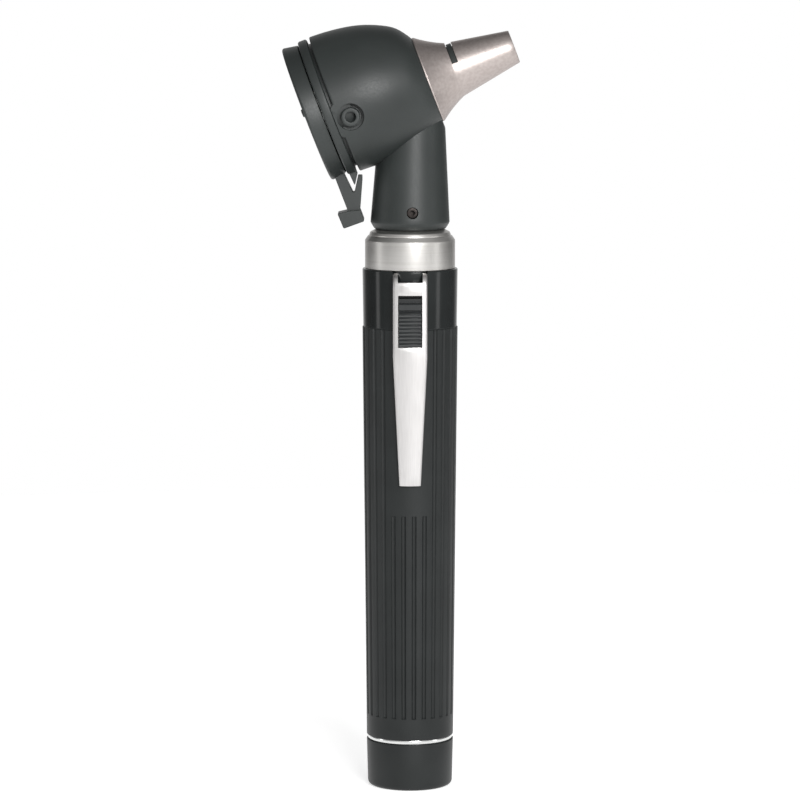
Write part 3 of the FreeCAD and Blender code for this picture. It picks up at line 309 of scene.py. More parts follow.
# %% Black ABS of the handle
BAND_Z = 97.3
DULL, POLISHED = 0.44, 0.15
abs_plain = {"IOR": 1.5, "Specular IOR Level": 0.32}
handle_abs, tree, shader = finish(
    "black_abs_moulded_satin", "#1d2020", "#232626", 9.0, 0.35, (DULL, DULL), 0.004, abs_plain
)
place = add(tree, "ShaderNodeTexCoord").outputs["Object"]
height = add(tree, "ShaderNodeSeparateXYZ", {0: place}).outputs["Z"]
band_start, band_full = (BAND_Z + 0.1) * MM, (BAND_Z + 0.4) * MM
band_span = {"Value": height, "From Min": band_start, "From Max": band_full}
band = add(tree, "ShaderNodeMapRange", {**band_span, "To Min": DULL, "To Max": POLISHED})
tree.links.new(band.outputs[0], shader.inputs["Roughness"])
print(handle_abs.name, "roughness", DULL, "on the ribs and", POLISHED, "on the band")

# %% [markdown]
# The head is the same plastic from a spark-eroded mould. Its grain of about 0.3 mm scatters
# the light, so the big round shell shows one broad soft glow and no sharp reflection.

# %% Grained plastic of the head
abs_grained = {"IOR": 1.54, "Specular IOR Level": 0.5}
head_abs, _, _ = finish(
    "black_abs_spark_grained", "#232827", "#2b302f", 12.0, 0.3, (0.42, 0.5), 0.012, abs_grained
)
print(head_abs.name, "grain 0.3 mm")

# %% [markdown]
# The collar is turned from aluminium and anodised in its natural colour. The lathe leaves
# rings about 0.1 mm apart, too fine for this picture, so they are drawn 0.25 mm apart and
# very faint. They and the anodising spread the highlight into a wide soft gradient.

# %% Turned and anodised aluminium
collar_alu, _, _ = finish(
    "aluminium_turned_anodised", "#c9c7c3", "#d0cecb", 0.25, 0.25, (0.36, 0.4), 0.0012,
    {"Metallic": 1.0}, stretch=(60, 60, 1),
)
print(collar_alu.name, "rings 0.25 mm apart")

# %% [markdown]
# The clip is spring steel, stamped, bent and plated with satin chromium. Polishing along its
# length leaves very fine long scratches, which show only as a soft sheen.

# %% Satin plated steel of the clip
clip_steel, _, _ = finish(
    "spring_steel_satin_chromed", "#cdcbca", "#d3d1d0", 0.2, 0.2, (0.33, 0.37), 0.0008,
    {"Metallic": 1.0}, stretch=(1, 1, 60),
)
print(clip_steel.name, "scratches 0.2 mm apart")

# %% [markdown]
# The cone is metal, blasted with fine glass beads before it is plated. The tiny dents make
# it matt and a little warm, and it reflects the studio only as a soft gradient.

# %% Bead-blasted metal of the cone
cone_metal, _, _ = finish(
    "nickel_bead_blasted", "#b3a9a5", "#beb5b1", 0.6, 0.3, (0.4, 0.46), 0.008, {"Metallic": 1.0}
)
print(cone_metal.name, "dents 0.3 mm")

# %% [markdown]
# The small metal pieces are plated, turned, drawn or blackened. Turned ones get faint rings
# about Z, and the wire and the screw an even fleck.

# %% Plated, turned and drawn small metals
RINGS = (50, 50, 1)
metal = {"Metallic": 1.0}
bright_ring, _, _ = finish(
    "brass_nickel_plated", "#d8d9d8", "#e6e7e6", 0.3, 0.3, (0.14, 0.2), 0.001, metal, RINGS
)
brass, _, _ = finish(
    "brass_turned", "#b08d45", "#c9a75c", 0.3, 0.3, (0.22, 0.3), 0.001, metal, RINGS
)
wire, _, _ = finish("steel_wire_drawn", "#9fa1a3", "#b6b8ba", 0.8, 0.2, (0.25, 0.32), 0.001, metal)
blackened, _, _ = finish(
    "steel_blackened", "#2e2b2a", "#3b3735", 0.5, 0.3, (0.34, 0.44), 0.002, metal
)
print("four small metals")

# %% [markdown]
# The switch is a softer-looking black than the handle: moulded in nylon, with a dull skin.
# The cells have a printed film on the real ones; here it is a plain one. The insulator is
# a tan laminate.

# %% Plain polymers
nylon, _, _ = finish(
    "nylon_moulded_dull", "#1a1d1e", "#222526", 5.0, 0.25, (0.38, 0.44), 0.006,
    {"IOR": 1.53, "Specular IOR Level": 0.4},
)
cell_film, _, _ = finish(
    "polyester_film_plain", "#3c4a52", "#46555e", 10.0, 0.5, (0.2, 0.25), 0.002, {"IOR": 1.6}
)
laminate, _, _ = finish(
    "paper_laminate_tan", "#9a7a4e", "#ab8b5c", 3.0, 0.4, (0.45, 0.55), 0.01, {"IOR": 1.5}
)
print("three plain polymers")

# %% [markdown]
# Optical pieces are clear. The magnifier and the lamp are glass, and the light guide is a
# bundle of fibres that looks milky from the side. Their faint unevenness is in the surface
# and far finer than the eye can see, so it is kept very weak.

# %% Glass and fibre
lens_glass, _, _ = finish(
    "crown_glass_polished", "#f4f8f6", "#ffffff", 6.0, 6.0, (0.0, 0.004), 0.0002,
    {"IOR": 1.52, "Transmission Weight": 1.0},
)
lamp_glass, _, _ = finish(
    "lamp_glass_blown", "#f1f4f2", "#ffffff", 2.0, 2.0, (0.01, 0.03), 0.0004,
    {"IOR": 1.5, "Transmission Weight": 1.0},
)
guide_fibre, _, _ = finish(
    "glass_fibre_bundle", "#e3ebe8", "#f6faf8", 0.4, 0.4, (0.25, 0.35), 0.001,
    {"IOR": 1.58, "Transmission Weight": 1.0},
)
print("three clear materials")

# %% [markdown]
# The handle tube is one moulding. Its wall widens slightly towards the top, and 27 half-round
# grooves are spaced evenly round it. Modelling each groove as a cut tool would be slow. Here
# the wall is a surface r(angle, height): the taper, less the depth of the nearest groove.
# Behind the clip the grooves stop lower, which leaves a smooth panel.

# %% The ribbed wall as a formula
TUBE_Z, TUBE_TOP = 10.8, 109.6
RIB_FOOT_R, RIB_TOP_R, BAND_FOOT_R, BAND_TOP_R = 9.12, 9.95, 9.78, 9.95
TUBE_BORE, SOCKET_R = 7.6, 8.3
GROOVES, GROOVE_FIRST, GROOVE_R, GROOVE_DEPTH = 27, math.radians(5.1), 0.5, 0.38
GROOVE_FOOT, PANEL_FOOT, PANEL_HALF = 15.4, 58.4, math.radians(28)
PITCH = TAU / GROOVES


def groove_depth(angle, z):
    """Depth at an angle from the front and a height: sqrt(R^2 - d^2) - (R - depth).

    d is the distance from the nearest groove's centre line, and past its end the depth is
    nothing. The half sum with a square root, (v + sqrt(v^2 + s^2)) / 2, is a soft version of
    "never below zero" and rounds the groove's edges.
    """
    number = np.round((angle - GROOVE_FIRST) / PITCH)
    middle = GROOVE_FIRST + number * PITCH
    from_front = np.abs((middle + np.pi) % TAU - np.pi)
    top = np.where(from_front < PANEL_HALF, PANEL_FOOT, BAND_Z)
    across = (angle - middle) * (RIB_FOOT_R + RIB_TOP_R) / 2
    rest = GROOVE_R - GROOVE_DEPTH
    scoop = np.sqrt(np.maximum(GROOVE_R**2 - across**2, 0)) - rest
    soft = 0.05
    plain = (np.sqrt(rest**2 + soft**2) - rest) / 2
    depth = (scoop + np.sqrt(scoop**2 + soft**2)) / 2 - plain
    return np.where((z > GROOVE_FOOT) & (z < top), depth, 0)


print("groove pitch", round(RIB_TOP_R * PITCH, 2), "mm at the top")

# %% [markdown]
# The grid's columns crowd together inside each groove and its rows where a groove ends, and
# they spread out on plain wall. Below the clip's tabs the top edge steps down, and behind
# the switch the wall is planed flat. The inner channel and the switch's slot are cut last.

# %% The handle tube
FOOT_EDGE, TOP_EDGE, SOCKET_FOOT, SOCKET_HEAD = 0.15, 0.3, 20.0, 104.0
FLAT_FOOT, FLAT_HEAD, FLAT_Y = 93, 105.9, -9.5
NOTCH_IN, NOTCH_OUT, NOTCH_Y, NOTCH_Z = 2.6, 3.6, -8.55, 109.05
inside_groove = np.linspace(-0.26, 0.26, 15)
between = np.linspace(0.26, 0.74, 7)[1:-1]
columns = np.concatenate([inside_groove, between])
angle = (GROOVE_FIRST + (np.arange(GROOVES)[:, None] + columns) * PITCH).ravel()
quarter = np.linspace(0, np.pi / 2, 5)
heights = [
    TUBE_Z + FOOT_EDGE - FOOT_EDGE * np.cos(quarter),
    np.linspace(12, 15.2, 3),
    [15.38, 15.42, 15.7],
    np.linspace(19, 56, 11),
    [58.1, 58.38, 58.42],
    np.linspace(60, 92.5, 8),
    [92.99, 93.01, 95],
    [97.0, 97.28],
    [97.34, 97.43, 97.6],
    np.linspace(98.5, 105.5, 8),
    [105.89, 105.91, 107.5],
    TUBE_TOP - TOP_EDGE + TOP_EDGE * np.sin(quarter),
]
z = np.concatenate(heights)
wall_z = [TUBE_Z, BAND_Z, BAND_Z + 0.12, TUBE_TOP]
wall = np.interp(z, wall_z, [RIB_FOOT_R, RIB_TOP_R, BAND_FOOT_R, BAND_TOP_R])
wall[:5] -= FOOT_EDGE * (1 - np.sin(quarter))
wall[-5:] -= TOP_EDGE * (1 - np.cos(quarter))
inner_r = [SOCKET_R, SOCKET_R, TUBE_BORE, TUBE_BORE, SOCKET_R, SOCKET_R]
inner_z = [TUBE_TOP, SOCKET_HEAD, SOCKET_HEAD, SOCKET_FOOT, SOCKET_FOOT, TUBE_Z]
r = wall[:, None] - groove_depth(angle, z[:, None])
r = np.vstack([r, np.repeat(np.array(inner_r)[:, None], len(angle), 1)])
z = np.concatenate([z, inner_z])[:, None] + 0 * angle
x, y = r * np.sin(angle), -r * np.cos(angle)
y = np.where((z > FLAT_FOOT) & (z < FLAT_HEAD), np.maximum(y, FLAT_Y), y)
in_notch = (np.abs(x) > NOTCH_IN) & (np.abs(x) < NOTCH_OUT) & (y < NOTCH_Y)
z = np.where(in_notch, np.minimum(z, NOTCH_Z), z)
shape = (np.stack([x, y, z], -1).reshape(-1, 3), [grid_faces(*r.shape, True, True)])
channel = prism([[-1.6, -8.45], [1.6, -8.45], [1.6, 0], [-1.6, 0]], TUBE_Z - 1, TUBE_TOP + 1)
stem_slot = prism([[-1.3, -12], [1.3, -12], [1.3, -5], [-1.3, -5]], 97.7, 102.4)
tube_mesh = cut(mesh_of(shape), channel, stem_slot)
piece("handle_tube_moulded", tube_mesh, "handle", handle_abs, "ribbed_plastic", "handle_tube")

# %% [markdown]
# The end cap is a plain moulded cup. Its wall leans out a little to leave the mould, and its
# lower edge is rounded so that it slips into a pocket. The metal insert above it shows as a
# thin bright ring, and its threaded stub shows when the cap is unscrewed.

# %% End cap and threaded insert
cap = rounded(
    [[0, 0], [8.87, 0], [9.12, 9.95], [8.15, 9.95], [8.15, 2.0], [0, 2.0]],
    [0, 1.0, 0.18, 0.1, 0.3, 0],
)
piece("end_cap_moulded", mesh_of(lathe(cap)), "cap", handle_abs, "ribbed_plastic", "end_cap")

THREAD_PITCH, THREAD_DEPTH, STUB_R = 1.1, 0.2, 8.05
angle = np.linspace(0, TAU, 160, endpoint=False)
z = np.concatenate([[4.6], np.linspace(4.8, 9.5, 70), [10.0, 10.0, 10.05, 10.2, 10.6, 10.75]])
r = np.full(len(z), STUB_R)
r[-5:] = [8.7, 8.85, 8.9, 8.9, 8.85]
turns = z[:, None] / THREAD_PITCH - angle / TAU
saw = np.abs((turns % 1) * 2 - 1)
fade = np.clip((z - 4.7) / 0.6, 0, 1) * np.clip((9.4 - z) / 0.6, 0, 1)
r = r[:, None] - THREAD_DEPTH * saw * fade[:, None]
back_r = np.array([8.7, 8.3, 8.3, 7.6, 7.6])[:, None] + 0 * angle
back_z = np.array([10.8, 10.8, 20.0, 20.0, 4.6])
r = np.vstack([r, back_r])
z = np.concatenate([z, back_z])[:, None] + 0 * angle
points = np.stack([r * np.cos(angle), r * np.sin(angle), z], -1).reshape(-1, 3)
insert_mesh = mesh_of((points, [grid_faces(*r.shape, True, True)]))
piece("insert_turned", insert_mesh, "handle", bright_ring, "bright_metal", "tube_insert")

# %% [markdown]
# The collar is one turned part: a spigot inside the tube, a plain band, a shoulder with a
# fine step, and a round top that rises to the neck. Its lip has three gaps for the bayonet
# lugs of the head, cut here as they are milled on the real one.

# %% Aluminium collar
collar_corners = [
    [7.6, 104.0], [8.3, 104.0], [8.3, 109.6], [9.4, 109.6], [9.4, 115.5], [8.75, 116.4],
    [8.5, 116.4], [8.5, 116.65], [8.3, 117.15], [7.1, 117.8], [6.25, 117.8], [6.25, 113.9],
    [7.6, 113.9],
]
collar_radii = [0.05, 0.1, 0.02, 0.12, 0.3, 0.12, 0.05, 0.06, 0.4, 0.25, 0.05, 0.05, 0.05]
collar_mesh = mesh_of(lathe(rounded(collar_corners, collar_radii), 192))
entries = []
for number in range(3):
    middle = math.radians(120 * number + 40 - 90)
    swing = middle + np.linspace(-1, 1, 13) * math.radians(19)
    fan = np.column_stack([np.cos(swing), np.sin(swing)]) * 7.0
    entries.append(prism(np.vstack([[0, 0], fan]), 113.5, 119))
collar_mesh = cut(collar_mesh, *entries)
piece("collar_turned", collar_mesh, "handle", collar_alu, "collar_metal", "collar")

# %% [markdown]
# The pocket clip starts as flat spring steel. A press cuts the outline and the switch window,
# then bends both sides down, crowns the face and rolls the top over, so that two tabs grip
# under the collar. A profile carried along a path says the same: each row of the grid is
# the channel's section, hung on a spine that runs up the face and round the shoulder.

# %% The clip as a section on a spine
CLIP_TOP_HALF, CLIP_END_HALF, CLIP_CORNER, CLIP_CROWN = 3.6, 2.25, 0.55, 0.35
CLIP_FACE, CLIP_END_FACE, CLIP_EDGE, CLIP_END_EDGE = 12.25, 10.95, 9.75, 10.1
CLIP_END_Z, CLIP_BEND_Z, SHOULDER_Z, SHOULDER_R = 65.0, 92.0, 106.6, 2.9
WINDOW_HALF, WINDOW_LOW, WINDOW_TOP, TAB_SLOT_HALF, TAB_SLOT_LOW = 2.5, 94.0, 104.8, 2.6, 107.5
CLIP_SHEET, TAB_Z = 0.6, 109.5

lower_face = np.linspace(CLIP_END_Z, CLIP_BEND_Z, 15)
window_face = np.linspace(95, WINDOW_TOP, 8)
straight = np.concatenate([lower_face, [93, WINDOW_LOW], window_face, [105.7]])
slot_foot = np.arcsin((TAB_SLOT_LOW - SHOULDER_Z) / SHOULDER_R)
bend = np.concatenate([np.linspace(0, slot_foot, 4), np.linspace(slot_foot, np.pi / 2, 11)[1:]])
reach = np.array([9.1, 8.8, 8.55])
face = np.interp(straight, [CLIP_END_Z, CLIP_BEND_Z], [CLIP_END_FACE, CLIP_FACE])
spine_y = np.concatenate([face, CLIP_FACE - SHOULDER_R * (1 - np.cos(bend)), reach])
spine_z = np.concatenate([straight, SHOULDER_Z + SHOULDER_R * np.sin(bend), 0 * reach + TAB_Z])
lean = np.concatenate([0 * straight, bend, 0 * reach + np.pi / 2])
half = np.interp(spine_z, [CLIP_END_Z, CLIP_BEND_Z], [CLIP_END_HALF, CLIP_TOP_HALF])
edge = np.interp(spine_z, [CLIP_END_Z, CLIP_BEND_Z], [CLIP_END_EDGE, CLIP_EDGE])
flat_half = CLIP_TOP_HALF - CLIP_CORNER
openings = np.array([WINDOW_HALF, TAB_SLOT_HALF]) / flat_half
flat_share = np.concatenate([np.linspace(0, 0.65, 5), openings, [0.93, 1.0]])
corner = np.linspace(0, np.pi / 2, 6)[1:]
side = np.linspace(0, 1, 5)[1:]
inner = (half - CLIP_CORNER)[:, None]
crown = CLIP_CROWN * (inner * flat_share / half[:, None]) ** 2
corner_x = inner + CLIP_CORNER * np.sin(corner)
corner_drop = crown[:, -1:] + CLIP_CORNER * (1 - np.cos(corner))
depth = np.maximum((spine_y - edge)[:, None], corner_drop[:, -1:] + 0.05)
side_drop = corner_drop[:, -1:] + (depth - corner_drop[:, -1:]) * side
side_x = half[:, None] + 0 * side
right_x = np.hstack([inner * flat_share, corner_x, side_x])
right_drop = np.hstack([crown, corner_drop, side_drop])
x = np.hstack([-right_x[:, :0:-1], right_x])
drop = np.hstack([right_drop[:, :0:-1], right_drop])
y = -(spine_y[:, None] - drop * np.cos(lean)[:, None])
z = spine_z[:, None] - drop * np.sin(lean)[:, None]
faces = grid_faces(*x.shape)
points = np.stack([x, y, z], -1).reshape(-1, 3)
middle = points[faces].mean(1)
level = np.repeat(spine_z, x.shape[1])[faces].mean(1)
in_window = (np.abs(middle[:, 0]) < WINDOW_HALF) & (level > WINDOW_LOW) & (level < WINDOW_TOP)
in_slot = (np.abs(middle[:, 0]) < TAB_SLOT_HALF) & (level > TAB_SLOT_LOW)
clip_mesh = mesh_of((points, [faces[~(in_window | in_slot)]]), closed=False)
clip = piece("clip_stamped", clip_mesh, "handle", clip_steel, "clip_metal", "pocket_clip")
sheet = clip.modifiers.new("sheet", "SOLIDIFY")
sheet.thickness = CLIP_SHEET * MM
sheet.offset = -1
round_edges(clip, 0.12)

# %% [markdown]
# The switch slides in the clip's window. Its thumb face has a bar at the top, a hollow below
# it, and fine cross ribs that stop the thumb from slipping. The outline is drawn once from
# the side: the ribs are a saw wave, d = depth * (1 - share of the pitch), and the outline is
# then drawn out to the slider's width.

# %% Ribbed switch slider
SLIDER_Z, SLIDER_TOP, SLIDER_FACE, SLIDER_HALF = 94.2, 103.2, 12.75, 2.35
RIBS, RIB_DEPTH, DISH_Z, BAR_Z = 9, 0.2, 101.1, 101.8
rib_pitch = (DISH_Z - SLIDER_Z) / RIBS
share = np.array([0.1, 0.4, 0.6, 0.72, 0.86])
step = np.array([0.05, 0.0, 0.3, 1.0, 0.9]) * RIB_DEPTH
rib_z = (SLIDER_Z + (np.arange(RIBS)[:, None] + share) * rib_pitch).ravel()
rib_y = SLIDER_FACE - np.tile(step, RIBS)
dish = np.linspace(0, np.pi, 9)
dish_z = DISH_Z + 0.12 + (BAR_Z - DISH_Z - 0.12) * (1 - np.cos(dish)) / 2
dish_y = SLIDER_FACE - 0.45 * np.sin(dish)
top_y = [SLIDER_FACE, SLIDER_FACE - 0.03, SLIDER_FACE - 0.25, 10.9]
top_z = [BAR_Z + 0.1, SLIDER_TOP - 0.25, SLIDER_TOP, SLIDER_TOP]
outline_y = np.concatenate([[10.9, SLIDER_FACE - 0.15], rib_y, dish_y, top_y])
outline_z = np.concatenate([[SLIDER_Z, SLIDER_Z], rib_z, dish_z, top_z])


def drawn_across(distance, z, half):
    """A side outline of (distance in front, height) pairs drawn out to both sides in X."""
    points, faces = prism(np.column_stack([-np.array(distance), z]), -half, half)
    return points[:, [2, 0, 1]], faces


button = drawn_across(outline_y, outline_z, SLIDER_HALF)
base = drawn_across([9.55, 11.02, 11.02, 9.55], [93.3, 93.3, 104.1, 104.1], 2.75)
stem = drawn_across([8.15, 9.6, 9.6, 8.15], [97.9, 97.9, 100.7, 100.7], 1.1)
slider_mesh = mesh_of(joined(button, base, stem))
piece("slider_moulded", slider_mesh, "switch", nylon, "slider_plastic", "switch_slider", bevel=0.08)

# %% [markdown]
# The head's shell is a bullet that droops: each section across the line of sight is a
# circle, but the circles shrink faster at the top than below, so their centres sink towards
# the cone. A smooth curve through a few measured rises and drops gives every section. A
# natural cubic spline is used, as a draughtsman's bent lath would run.

# %% The barrel's sections
BARREL_R, BARREL_BACK, BARREL_FRONT = 14.85, 6.2, 26.0
STATION = np.array([-0.1, 0.0, 0.32, 0.57, 0.775, 0.915, 1.0])
RISE = np.array([0.997, 0.997, 0.965, 0.892, 0.775, 0.633, 0.471])
DROP = np.array([1.0, 1.0, 1.007, 0.963, 0.892, 0.825, 0.768])


def lath(x, knots, values):
    """Natural cubic spline: bends m solve the usual three-term rows, with no bend at the ends."""
    gap = np.diff(knots)
    slope = np.diff(values) / gap
    rows = np.diag(2 * (gap[:-1] + gap[1:])) + np.diag(gap[1:-1], 1) + np.diag(gap[1:-1], -1)
    bends = np.concatenate([[0], np.linalg.solve(rows, 6 * np.diff(slope)), [0]])
    i = np.clip(np.searchsorted(knots, x) - 1, 0, len(gap) - 1)
    left, right, h = x - knots[i], knots[i + 1] - x, gap[i]
    curve = (bends[i] * right**3 + bends[i + 1] * left**3) / (6 * h)
    line = (values[i] / h - bends[i] * h / 6) * right
    line = line + (values[i + 1] / h - bends[i + 1] * h / 6) * left
    return curve + line


def barrel_section(ahead):
    """Radius and centre height: half the sum and half the difference of rise and drop."""
    share = (ahead - BARREL_BACK) / (BARREL_FRONT - BARREL_BACK)
    rise, drop = lath(share, STATION, RISE), lath(share, STATION, DROP)
    return (rise + drop) / 2 * BARREL_R, (rise - drop) / 2 * BARREL_R


def circles(ahead, radius, centre, columns=256):
    """Rings across the line of sight: (ahead, r sin a, centre + r cos a)."""
    angle = np.linspace(0, TAU, columns, endpoint=False)
    u, r, c = (np.array(value, float)[:, None] for value in (ahead, radius, centre))
    return np.stack([u + 0 * angle, r * np.sin(angle), c + r * np.cos(angle)], -1)


front_radius, front_centre = barrel_section(np.array([BARREL_FRONT]))
print("front face radius", front_radius.round(2), "centre", front_centre.round(2))

# %% [markdown]
# The shell runs round: up its outside from the rounded rear edge to the rounded front edge,
# in through the cone's seat, and back down its inside. Each row of the grid is one circle, so
# the whole shell is three lists: how far ahead each circle lies, its radius and its centre.

# %% The barrel's shell
REAR_EDGE, FRONT_EDGE, WALL, SEAT_R, HOLLOW_FRONT = 0.25, 0.2, 1.6, 7.32, 23.6
turn = np.linspace(0, np.pi / 2, 5)[:-1]
outside_u = np.linspace(BARREL_BACK + REAR_EDGE, BARREL_FRONT - FRONT_EDGE, 72)
outside_r, outside_c = barrel_section(outside_u)
rear_u = BARREL_BACK + REAR_EDGE * (1 - np.cos(turn))
rear_r = outside_r[0] - REAR_EDGE * (1 - np.sin(turn))
front_u = BARREL_FRONT - FRONT_EDGE * (1 - np.sin(turn[1:]))
front_r = outside_r[-1] - 0.1 - FRONT_EDGE * (1 - np.cos(turn[1:]))
hollow_u = np.linspace(HOLLOW_FRONT, 9.7, 24)
hollow_r, hollow_c = barrel_section(hollow_u)
seat_c = front_centre[0]
seat_u, socket_u = [BARREL_FRONT, HOLLOW_FRONT], [9.6, 9.6, BARREL_BACK]
ahead = np.concatenate([rear_u, outside_u, front_u, seat_u, hollow_u, socket_u])
radius = np.concatenate([
    rear_r, outside_r, front_r, [SEAT_R] * 2, hollow_r - WALL, [13.0, 13.5, 13.5],
])
centre = np.concatenate([
    0 * rear_u + outside_c[0], outside_c, 0 * front_u + seat_c, [seat_c] * 2, hollow_c, [0, 0, 0],
])
rings = circles(ahead, radius, centre)
shell = in_head((rings.reshape(-1, 3), [grid_faces(*rings.shape[:2], True, True)]))
print("shell of", len(ahead), "circles")

# %% [markdown]
# The insufflation port sits low on the near side. A doctor pushes a rubber bulb's tube on
# the small nipple inside its round recess. Its boss bridges the groove behind the barrel,
# flush with the skin: a rod along the port's axis, whose outer end is laid on the skin with
# v = -sqrt(r^2 - (w - c)^2), where r and c are the barrel's radius and centre there.

# %% Barrel with its port, and the nipple
PORT_AHEAD, PORT_ABOVE, PORT_FACE, PORT_FLOOR, PORT_BACK = 8.75, -3.1, 14.7, 12.7, 10.6
BOSS_R, RECESS_R, NIPPLE_SEAT_R, NIPPLE_R, NIPPLE_BORE_R = 4.4, 2.8, 2.2, 1.95, 1.08
OVER, RING_FACE = 16.0, 5.5


def on_port(profile, columns=96):
    """A (radius, distance out) profile turned about the port's own axis."""
    points, faces = lathe(profile, columns)
    place = np.stack([PORT_AHEAD + points[:, 0], -points[:, 2], PORT_ABOVE + points[:, 1]], -1)
    return place, faces


boss_profile = rounded(
    [[2.25, PORT_BACK], [BOSS_R, PORT_BACK], [BOSS_R, OVER], [RECESS_R, OVER],
     [RECESS_R, PORT_FLOOR], [2.25, PORT_FLOOR]],
    [0.02, 0.1, 0.02, 0.02, 0.1, 0.02],
)
points, boss_faces = on_port(boss_profile)
u, v, w = points.T
r, c = barrel_section(np.clip(u, BARREL_BACK, BARREL_FRONT))
v = np.maximum(v, -np.sqrt(r**2 - (w - c) ** 2))
u = np.maximum(u, RING_FACE)
boss_shape = in_head((np.stack([u, v, w], -1), boss_faces))
drill = in_head(on_port([[0, 9.5], [BOSS_R - 0.15, 9.5], [BOSS_R - 0.15, 17], [0, 17]]))
barrel_mesh = together(cut(mesh_of(shell), drill), mesh_of(boss_shape))
piece("barrel_moulded", barrel_mesh, "head", head_abs, "head_plastic", "head_barrel")
nipple_profile = rounded(
    [[NIPPLE_BORE_R, PORT_BACK], [NIPPLE_SEAT_R, PORT_BACK], [NIPPLE_SEAT_R, PORT_FLOOR],
     [NIPPLE_R, PORT_FLOOR], [NIPPLE_R, PORT_FACE], [NIPPLE_BORE_R, PORT_FACE]],
    [0.02, 0.02, 0.02, 0.02, 0.3, 0.15],
)
nipple_mesh = mesh_of(in_head(on_port(nipple_profile)))
piece("nipple_moulded", nipple_mesh, "head", head_abs, "head_plastic", "insufflation_nipple")

# %% [markdown]
# The neck is a leaning cone that grows out of the barrel's underside. Its wall must stop just
# inside the barrel, and that height differs all round. For each direction the height is
# found by halving an interval again and again, for all directions at once: the middle is
# tried, and the half that still holds the crossing is kept.

# %% Neck with its set screw
NECK_Z, NECK_SHOULDER_Z, NECK_TOP_Z = 117.85, 119.35, 141.85
NECK_R, NECK_TOP_R, NECK_LEAN = 8.25, 6.75, 0.45
SINK, FACE_GAP, LID_RISE, HALVINGS = 0.7, 0.05, 2.0, 30


def neck_wall(angle, share):
    """Cone: radius 8.25 - 1.5 t about a centre that moves 0.45 t in X, t from foot to top."""
    r = NECK_R + (NECK_TOP_R - NECK_R) * share
    z = NECK_SHOULDER_Z + (NECK_TOP_Z - NECK_SHOULDER_Z) * share
    return np.stack([r * np.cos(angle) + NECK_LEAN * share, r * np.sin(angle), z], -1)


def stops_neck(points):
    """True where a point lies under the barrel's skin by SINK, or past its front plane."""
    local = (points - EYE) @ np.array([AHEAD, [0, 1, 0], ABOVE]).T
    r, c = barrel_section(np.clip(local[..., 0], BARREL_BACK, BARREL_FRONT))
    inside = np.hypot(local[..., 1], local[..., 2] - c) < r - SINK
    return inside | (local[..., 0] > BARREL_FRONT - FACE_GAP)


angle = np.linspace(0, TAU, 192, endpoint=False)
low, high = np.zeros_like(angle), np.full_like(angle, 1.25)
for _ in range(HALVINGS):
    middle = (low + high) / 2
    stopped = stops_neck(neck_wall(angle, middle))
    low, high = np.where(stopped, low, middle), np.where(stopped, middle, high)
wall = neck_wall(angle[None, :], low[None, :] * np.linspace(0, 1, 24)[:, None])
foot_r = np.array([0, 3.6, 3.6, 5.6, 5.6, 7.25, 7.4, 7.55, 7.85, 8.1, 8.22])
foot_z = np.array(
    [132.6, 132.6, 124.05, 124.05, NECK_Z, NECK_Z, 117.9, 118.05, 118.5, 118.95, 119.2]
)
foot_x, foot_y = foot_r[:, None] * np.cos(angle), foot_r[:, None] * np.sin(angle)
foot = np.stack([foot_x, foot_y, foot_z[:, None] + 0 * angle], -1)
lid = wall[-1] + LID_RISE * ABOVE
pole = np.broadcast_to(EYE + 18 * AHEAD - 9 * ABOVE, lid.shape)
points = np.concatenate([foot, wall, [lid, pole]])
neck_shape = (points.reshape(-1, 3), [grid_faces(*points.shape[:2], False, True)])

SCREW_Z, SCREW_ANGLE, SCREW_R = 121.55, math.radians(3.5), 1.2
OUT = np.array([math.sin(SCREW_ANGLE), -math.cos(SCREW_ANGLE), 0])
SIDE = np.array([math.cos(SCREW_ANGLE), math.sin(SCREW_ANGLE), 0])


def on_screw(shape):
    """From (side, up, out) to the place of the set screw."""
    points, faces = shape
    return points @ np.array([SIDE, [0, 0, 1], OUT]) + [0, 0, SCREW_Z], faces


hole = on_screw(lathe([[0, 5], [SCREW_R + 0.02, 5], [SCREW_R + 0.02, 10], [0, 10]], 48))
neck_mesh = cut(mesh_of(neck_shape), hole)
piece("neck_moulded", neck_mesh, "head", head_abs, "head_plastic", "neck")
grub = rounded([[0, 3.8], [SCREW_R, 3.8], [SCREW_R, 7.6], [0, 7.6]], [0, 0.1, 0.2, 0], 4)
key = np.linspace(0, TAU, 6, endpoint=False)
socket = prism(np.column_stack([np.cos(key), np.sin(key)]) * 0.62, 6.1, 9)
screw_mesh = cut(mesh_of(on_screw(lathe(grub, 48))), on_screw(socket))
piece("grub_screw_turned", screw_mesh, "head", blackened, "screw_metal", "set_screw")

# %% [markdown]
# Behind the barrel sits a bezel ring. It carries the pin on which the magnifier swings at the
# top, and a pointed tongue at the bottom that the magnifier's fork snaps over.

# %% Rear ring and its tongue
ring_profile = rounded(
    [[10.9, 3.6], [14.7, 3.6], [14.7, 5.5], [13.5, 5.5], [13.5, 9.6], [12.0, 9.6],
     [12.0, 5.5], [10.9, 5.5]],
    [0.1, 0.4, 0.35, 0.02, 0.1, 0.1, 0.05, 0.05],
)
tongue_outline = rounded(
    [[3.8, 13.2], [5.5, 13.2], [5.5, 15.14], [4.1, 17.27]], [0, 0, 0.2, 0.12], 4
)
bezel_mesh = mesh_of(on_sight(ring_profile, columns=220))
ring_mesh = together(bezel_mesh, mesh_of(side_plate(tongue_outline, 2.0)))
piece("rear_ring_moulded", ring_mesh, "head", head_abs, "head_plastic", "rear_ring", bevel=0.1)

# %% [markdown]
# The magnifier's frame is a tapered ring with a lever below it. The lever's inner finger
# leans forward to make a fork, and a small foot gives the thumb a hold. The ring is turned
# from a profile, and the lever is a rounded outline drawn out across the sight line.

